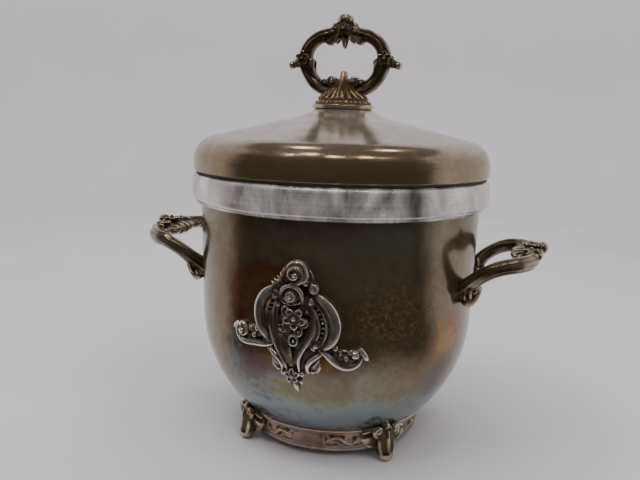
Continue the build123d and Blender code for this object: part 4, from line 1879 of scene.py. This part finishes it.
        hand_over(ring, "finial_loop", Body.LID, Slot.CASTING, finishes.dark_casting, "finial")
        hand_over(foot, "finial_base", Body.LID, Slot.CASTING, finishes.gilt_casting, "finial")


def dress_hidden_nodes(finishes: Finishes) -> None:
    """Gives the CAD nodes that are kept as they are their own materials.

    Args:
        finishes: The shared finishes.
    """
    looks = {
        finishes.liner: ("inner_liner", "lid_pan"),
        finishes.rubber: ("rim_gasket", "lid_seal"),
        finishes.foam: ("liner_insulation", "lid_insulation", "liner_pad"),
        finishes.zinc: ("handle_screws", "handle_washers", "finial_screw", "finial_washer"),
    }
    for material, names in looks.items():
        for name in names:
            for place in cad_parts[name].material_slots:
                place.material = material
            LOG.info("%s: %s", name, material.name)


@dataclass
class Studio:
    """The pale table, the light and the camera. Sizes in metres."""

    eye: Point = (0.1115, -0.4338, 0.2069)
    aim: Point = (-0.0119, -0.0034, 0.1259)
    lens: float = 38.55
    roll: float = 1.6  # degrees
    floor_radius: float = 1.15
    corner: float = 0.35
    wall_height: float = 1.75
    dark_from: float = 0.10  # how far in front of the axis the dark half of the room begins
    dark_back: float = 0.05  # how far behind the axis it is cut off
    dark_turn: float = 6.0  # how far it is turned to the right, degrees
    tube_size: tuple[float, float] = (0.17, 0.08)
    tube_height: float = 1.7
    tube_turn: float = 25.0  # degrees

    def cloth(self) -> None:
        """Lays the pale cloth, which sweeps up all round the object."""
        reach = (self.floor_radius + self.corner) / MM
        outline = Outline(0.0, 0.0)
        outline.line(self.floor_radius / MM, 0.0, 4)
        outline.sweep(reach, self.corner / MM, 10)
        outline.line(reach, self.wall_height / MM, 3)
        cloth = turned(outline, 96)
        cloth.name = "pale_table_cloth"
        cloth.data.materials.append(TableCloth("pale_table_cloth").make())

    def only_reflected(
        self,
        card: bpy.types.Object,
        colour: str,
        strength: float,
        fade: Callable[[Nodes], bpy.types.NodeSocket] | None = None,
    ) -> None:
        """Dresses a card that only polished metal sees.

        Args:
            card: The card.
            colour: Its sRGB colour.
            strength: How brightly it shows.
            fade: Works out how solid the card is from place to place, or None for solid all over.
        """
        card.visible_camera = card.visible_diffuse = card.visible_shadow = card.visible_transmission = False
        n = Nodes(card.name)
        glow = n.shade(
            Base_Color=linear("#000000"),
            Specular_IOR_Level=0.0,
            Emission_Color=linear(colour),
            Emission_Strength=strength,
            Alpha=fade(n) if fade else 1.0,
        )
        card.data.materials.append(glow)

    def soft_edge(self, n: Nodes) -> bpy.types.NodeSocket:
        """Fades the dark screen out raggedly towards the object and towards its sides.

        Args:
            n: The screen's nodes.

        Returns:
            How solid the screen is.
        """
        place = n.add("TexCoord", out="Object")
        ragged = n.add("TexNoise", {"Vector": place, "Scale": per(200), "Detail": 4.0, "Distortion": 0.8})
        ragged = n.add("Math", (ragged, 0.5), operation="SUBTRACT")
        level = n.add("VectorMath", (place, (1.0, 1.0, 0.0)), operation="MULTIPLY")
        away = n.add("VectorMath", (level,), out="Value", operation="LENGTH")
        turn = math.radians(self.dark_turn)
        forwards = (math.sin(turn), -math.cos(turn), 0.0)
        front = n.add("VectorMath", (place, forwards), out="Value", operation="DOT_PRODUCT")
        # the noise moves the near edge by about 60 mm and the side edges by about 15 degrees
        near = n.add("Math", (ragged, 0.12, away), operation="MULTIPLY_ADD")
        side = n.add("Math", (front, away), operation="DIVIDE")
        side = n.add("Math", (ragged, 0.5, side), operation="MULTIPLY_ADD")
        fade = {"interpolation_type": "SMOOTHSTEP"}
        solid = n.add("MapRange", (near, self.dark_from, self.dark_from + 0.15), **fade)
        wide = n.add("MapRange", (side, 0.02, 0.34), **fade)
        return n.add("Math", (solid, wide), operation="MULTIPLY")

    def dark_half(self) -> None:
        """Closes the front half of the room with a dim, warm screen that darkens the metal facing it."""
        clear = 2.0  # mm above the cloth
        reach = self.floor_radius / MM
        outline = Outline(0.9 * self.dark_from / MM, clear)
        outline.line(0.9 * reach, clear, 4)
        outline.sweep(reach, 200.0, 6)
        outline.line(reach, self.wall_height / MM, 3)
        screen = turned(outline, 96)
        screen.name = "dark_half_of_room"
        bpy.ops.object.mode_set(mode="EDIT")
        bpy.ops.mesh.select_all(action="SELECT")
        behind = (0.0, self.dark_back, 0.0)
        bpy.ops.mesh.bisect(plane_co=behind, plane_no=(0.0, 1.0, 0.0), clear_outer=True)
        bpy.ops.object.mode_set(mode="OBJECT")
        turn_about_axis(screen, self.dark_turn)
        self.only_reflected(screen, "#241e16", 1.0, self.soft_edge)

    def tube(self, name: str, x: float, y: float) -> None:
        """Hangs a ceiling tube that shows only as a spot in the metal.

        Args:
            name: The tube's name.
            x: Its place to the right of the axis.
            y: Its place behind the axis.
        """
        turn = (0.0, 0.0, math.radians(self.tube_turn))
        bpy.ops.object.select_all(action="DESELECT")
        bpy.ops.mesh.primitive_plane_add(size=1.0, location=(x, y, self.tube_height), rotation=turn)
        tube = bpy.context.object
        tube.name = name
        tube.scale = (*self.tube_size, 1.0)
        settle(tube)
        self.only_reflected(tube, "#fff6ea", 30.0)

    def lamp(self, name: str, watts: float, size: tuple[float, float], at: Point, target: Point) -> None:
        """Hangs a soft box that lights things without showing in the metal.

        Args:
            name: The lamp's name.
            watts: Its power.
            size: Its width and height.
            at: Where it hangs.
            target: What it points at.
        """
        bpy.ops.object.light_add(type="AREA", location=at)
        lamp = bpy.context.object
        lamp.name = name
        lamp.data.shape = "RECTANGLE"
        lamp.data.size, lamp.data.size_y = size
        lamp.data.energy = watts
        lamp.visible_glossy = False
        lamp.rotation_euler = (Vector(target) - Vector(at)).to_track_quat("-Z", "Y").to_euler()

    def world(self) -> None:
        """Fills the room: pale for the cloth, dim and warm for polished metal."""
        world = bpy.data.worlds.new("room")
        bpy.context.scene.world = world
        world.use_nodes = True
        tree = world.node_tree
        pale = tree.nodes["Background"]
        ray = tree.nodes.new("ShaderNodeLightPath")
        mix = tree.nodes.new("ShaderNodeMixShader")
        dim = tree.nodes.new("ShaderNodeBackground")
        for light, colour, strength in ((pale, "#f1f1f4", 1.3), (dim, "#5e5244", 0.75)):
            light.inputs["Color"].default_value = linear(colour)
            light.inputs["Strength"].default_value = strength
        tree.links.new(ray.outputs["Is Glossy Ray"], mix.inputs[0])
        tree.links.new(pale.outputs[0], mix.inputs[1])
        tree.links.new(dim.outputs[0], mix.inputs[2])
        tree.links.new(mix.outputs[0], tree.nodes["World Output"].inputs[0])

    def camera(self) -> None:
        """Stands the camera where it sees the object a little from the right and from above."""
        bpy.ops.object.camera_add(location=self.eye)
        camera = bpy.context.object
        camera.name = "camera"
        camera.data.lens = self.lens
        camera.data.sensor_width = 36.0
        camera.data.clip_start = 0.01
        look = (Vector(self.aim) - Vector(self.eye)).to_track_quat("-Z", "Y").to_matrix()
        tilt = Matrix.Rotation(math.radians(self.roll), 3, "Z")
        camera.rotation_euler = (look @ tilt).to_euler()
        bpy.context.scene.camera = camera

    def build(self) -> None:
        """Sets up the whole studio."""
        self.cloth()
        self.world()
        self.camera()
        self.dark_half()
        tubes = (
            (-1.08, -0.62), (-0.72, -0.86), (-0.3, -0.7), (0.12, -0.92), (0.62, -0.74), (1.02, -0.6),
            (-0.45, 0.2), (0.42, 0.4),
        )
        for k, (x, y) in enumerate(tubes):
            self.tube(f"ceiling_tube_{k}", x, y)
        self.lamp("key", 13.0, (0.9, 0.7), (-0.5, -0.5, 1.5), (0.0, 0.0, 0.1))
        self.lamp("fill", 8.0, (0.9, 0.9), (0.8, -0.6, 1.3), (0.0, 0.0, 0.1))
        self.lamp("wash", 9.0, (1.0, 0.5), (-0.1, 0.4, 1.6), (-0.3, 1.45, 0.4))


def main() -> None:
    """Builds the studio and every piece."""
    logging.basicConfig(level=logging.INFO, format="%(name)s: %(message)s")
    Studio().build()
    vessel = Vessel.of_frame()
    cartouches = Cartouches.of_frame(vessel.wall)
    finishes = Finishes.make((0.0, -vessel.wall.waist_radius, cartouches.middle))
    foot, handles = Foot.of_frame(vessel.wall), Handles.of_frame()
    for assembly in (vessel, Lid.of_frame(), cartouches, foot, handles, Finial.of_frame()):
        assembly.build(finishes)
    dress_hidden_nodes(finishes)


if __name__ == "__main__":
    main()
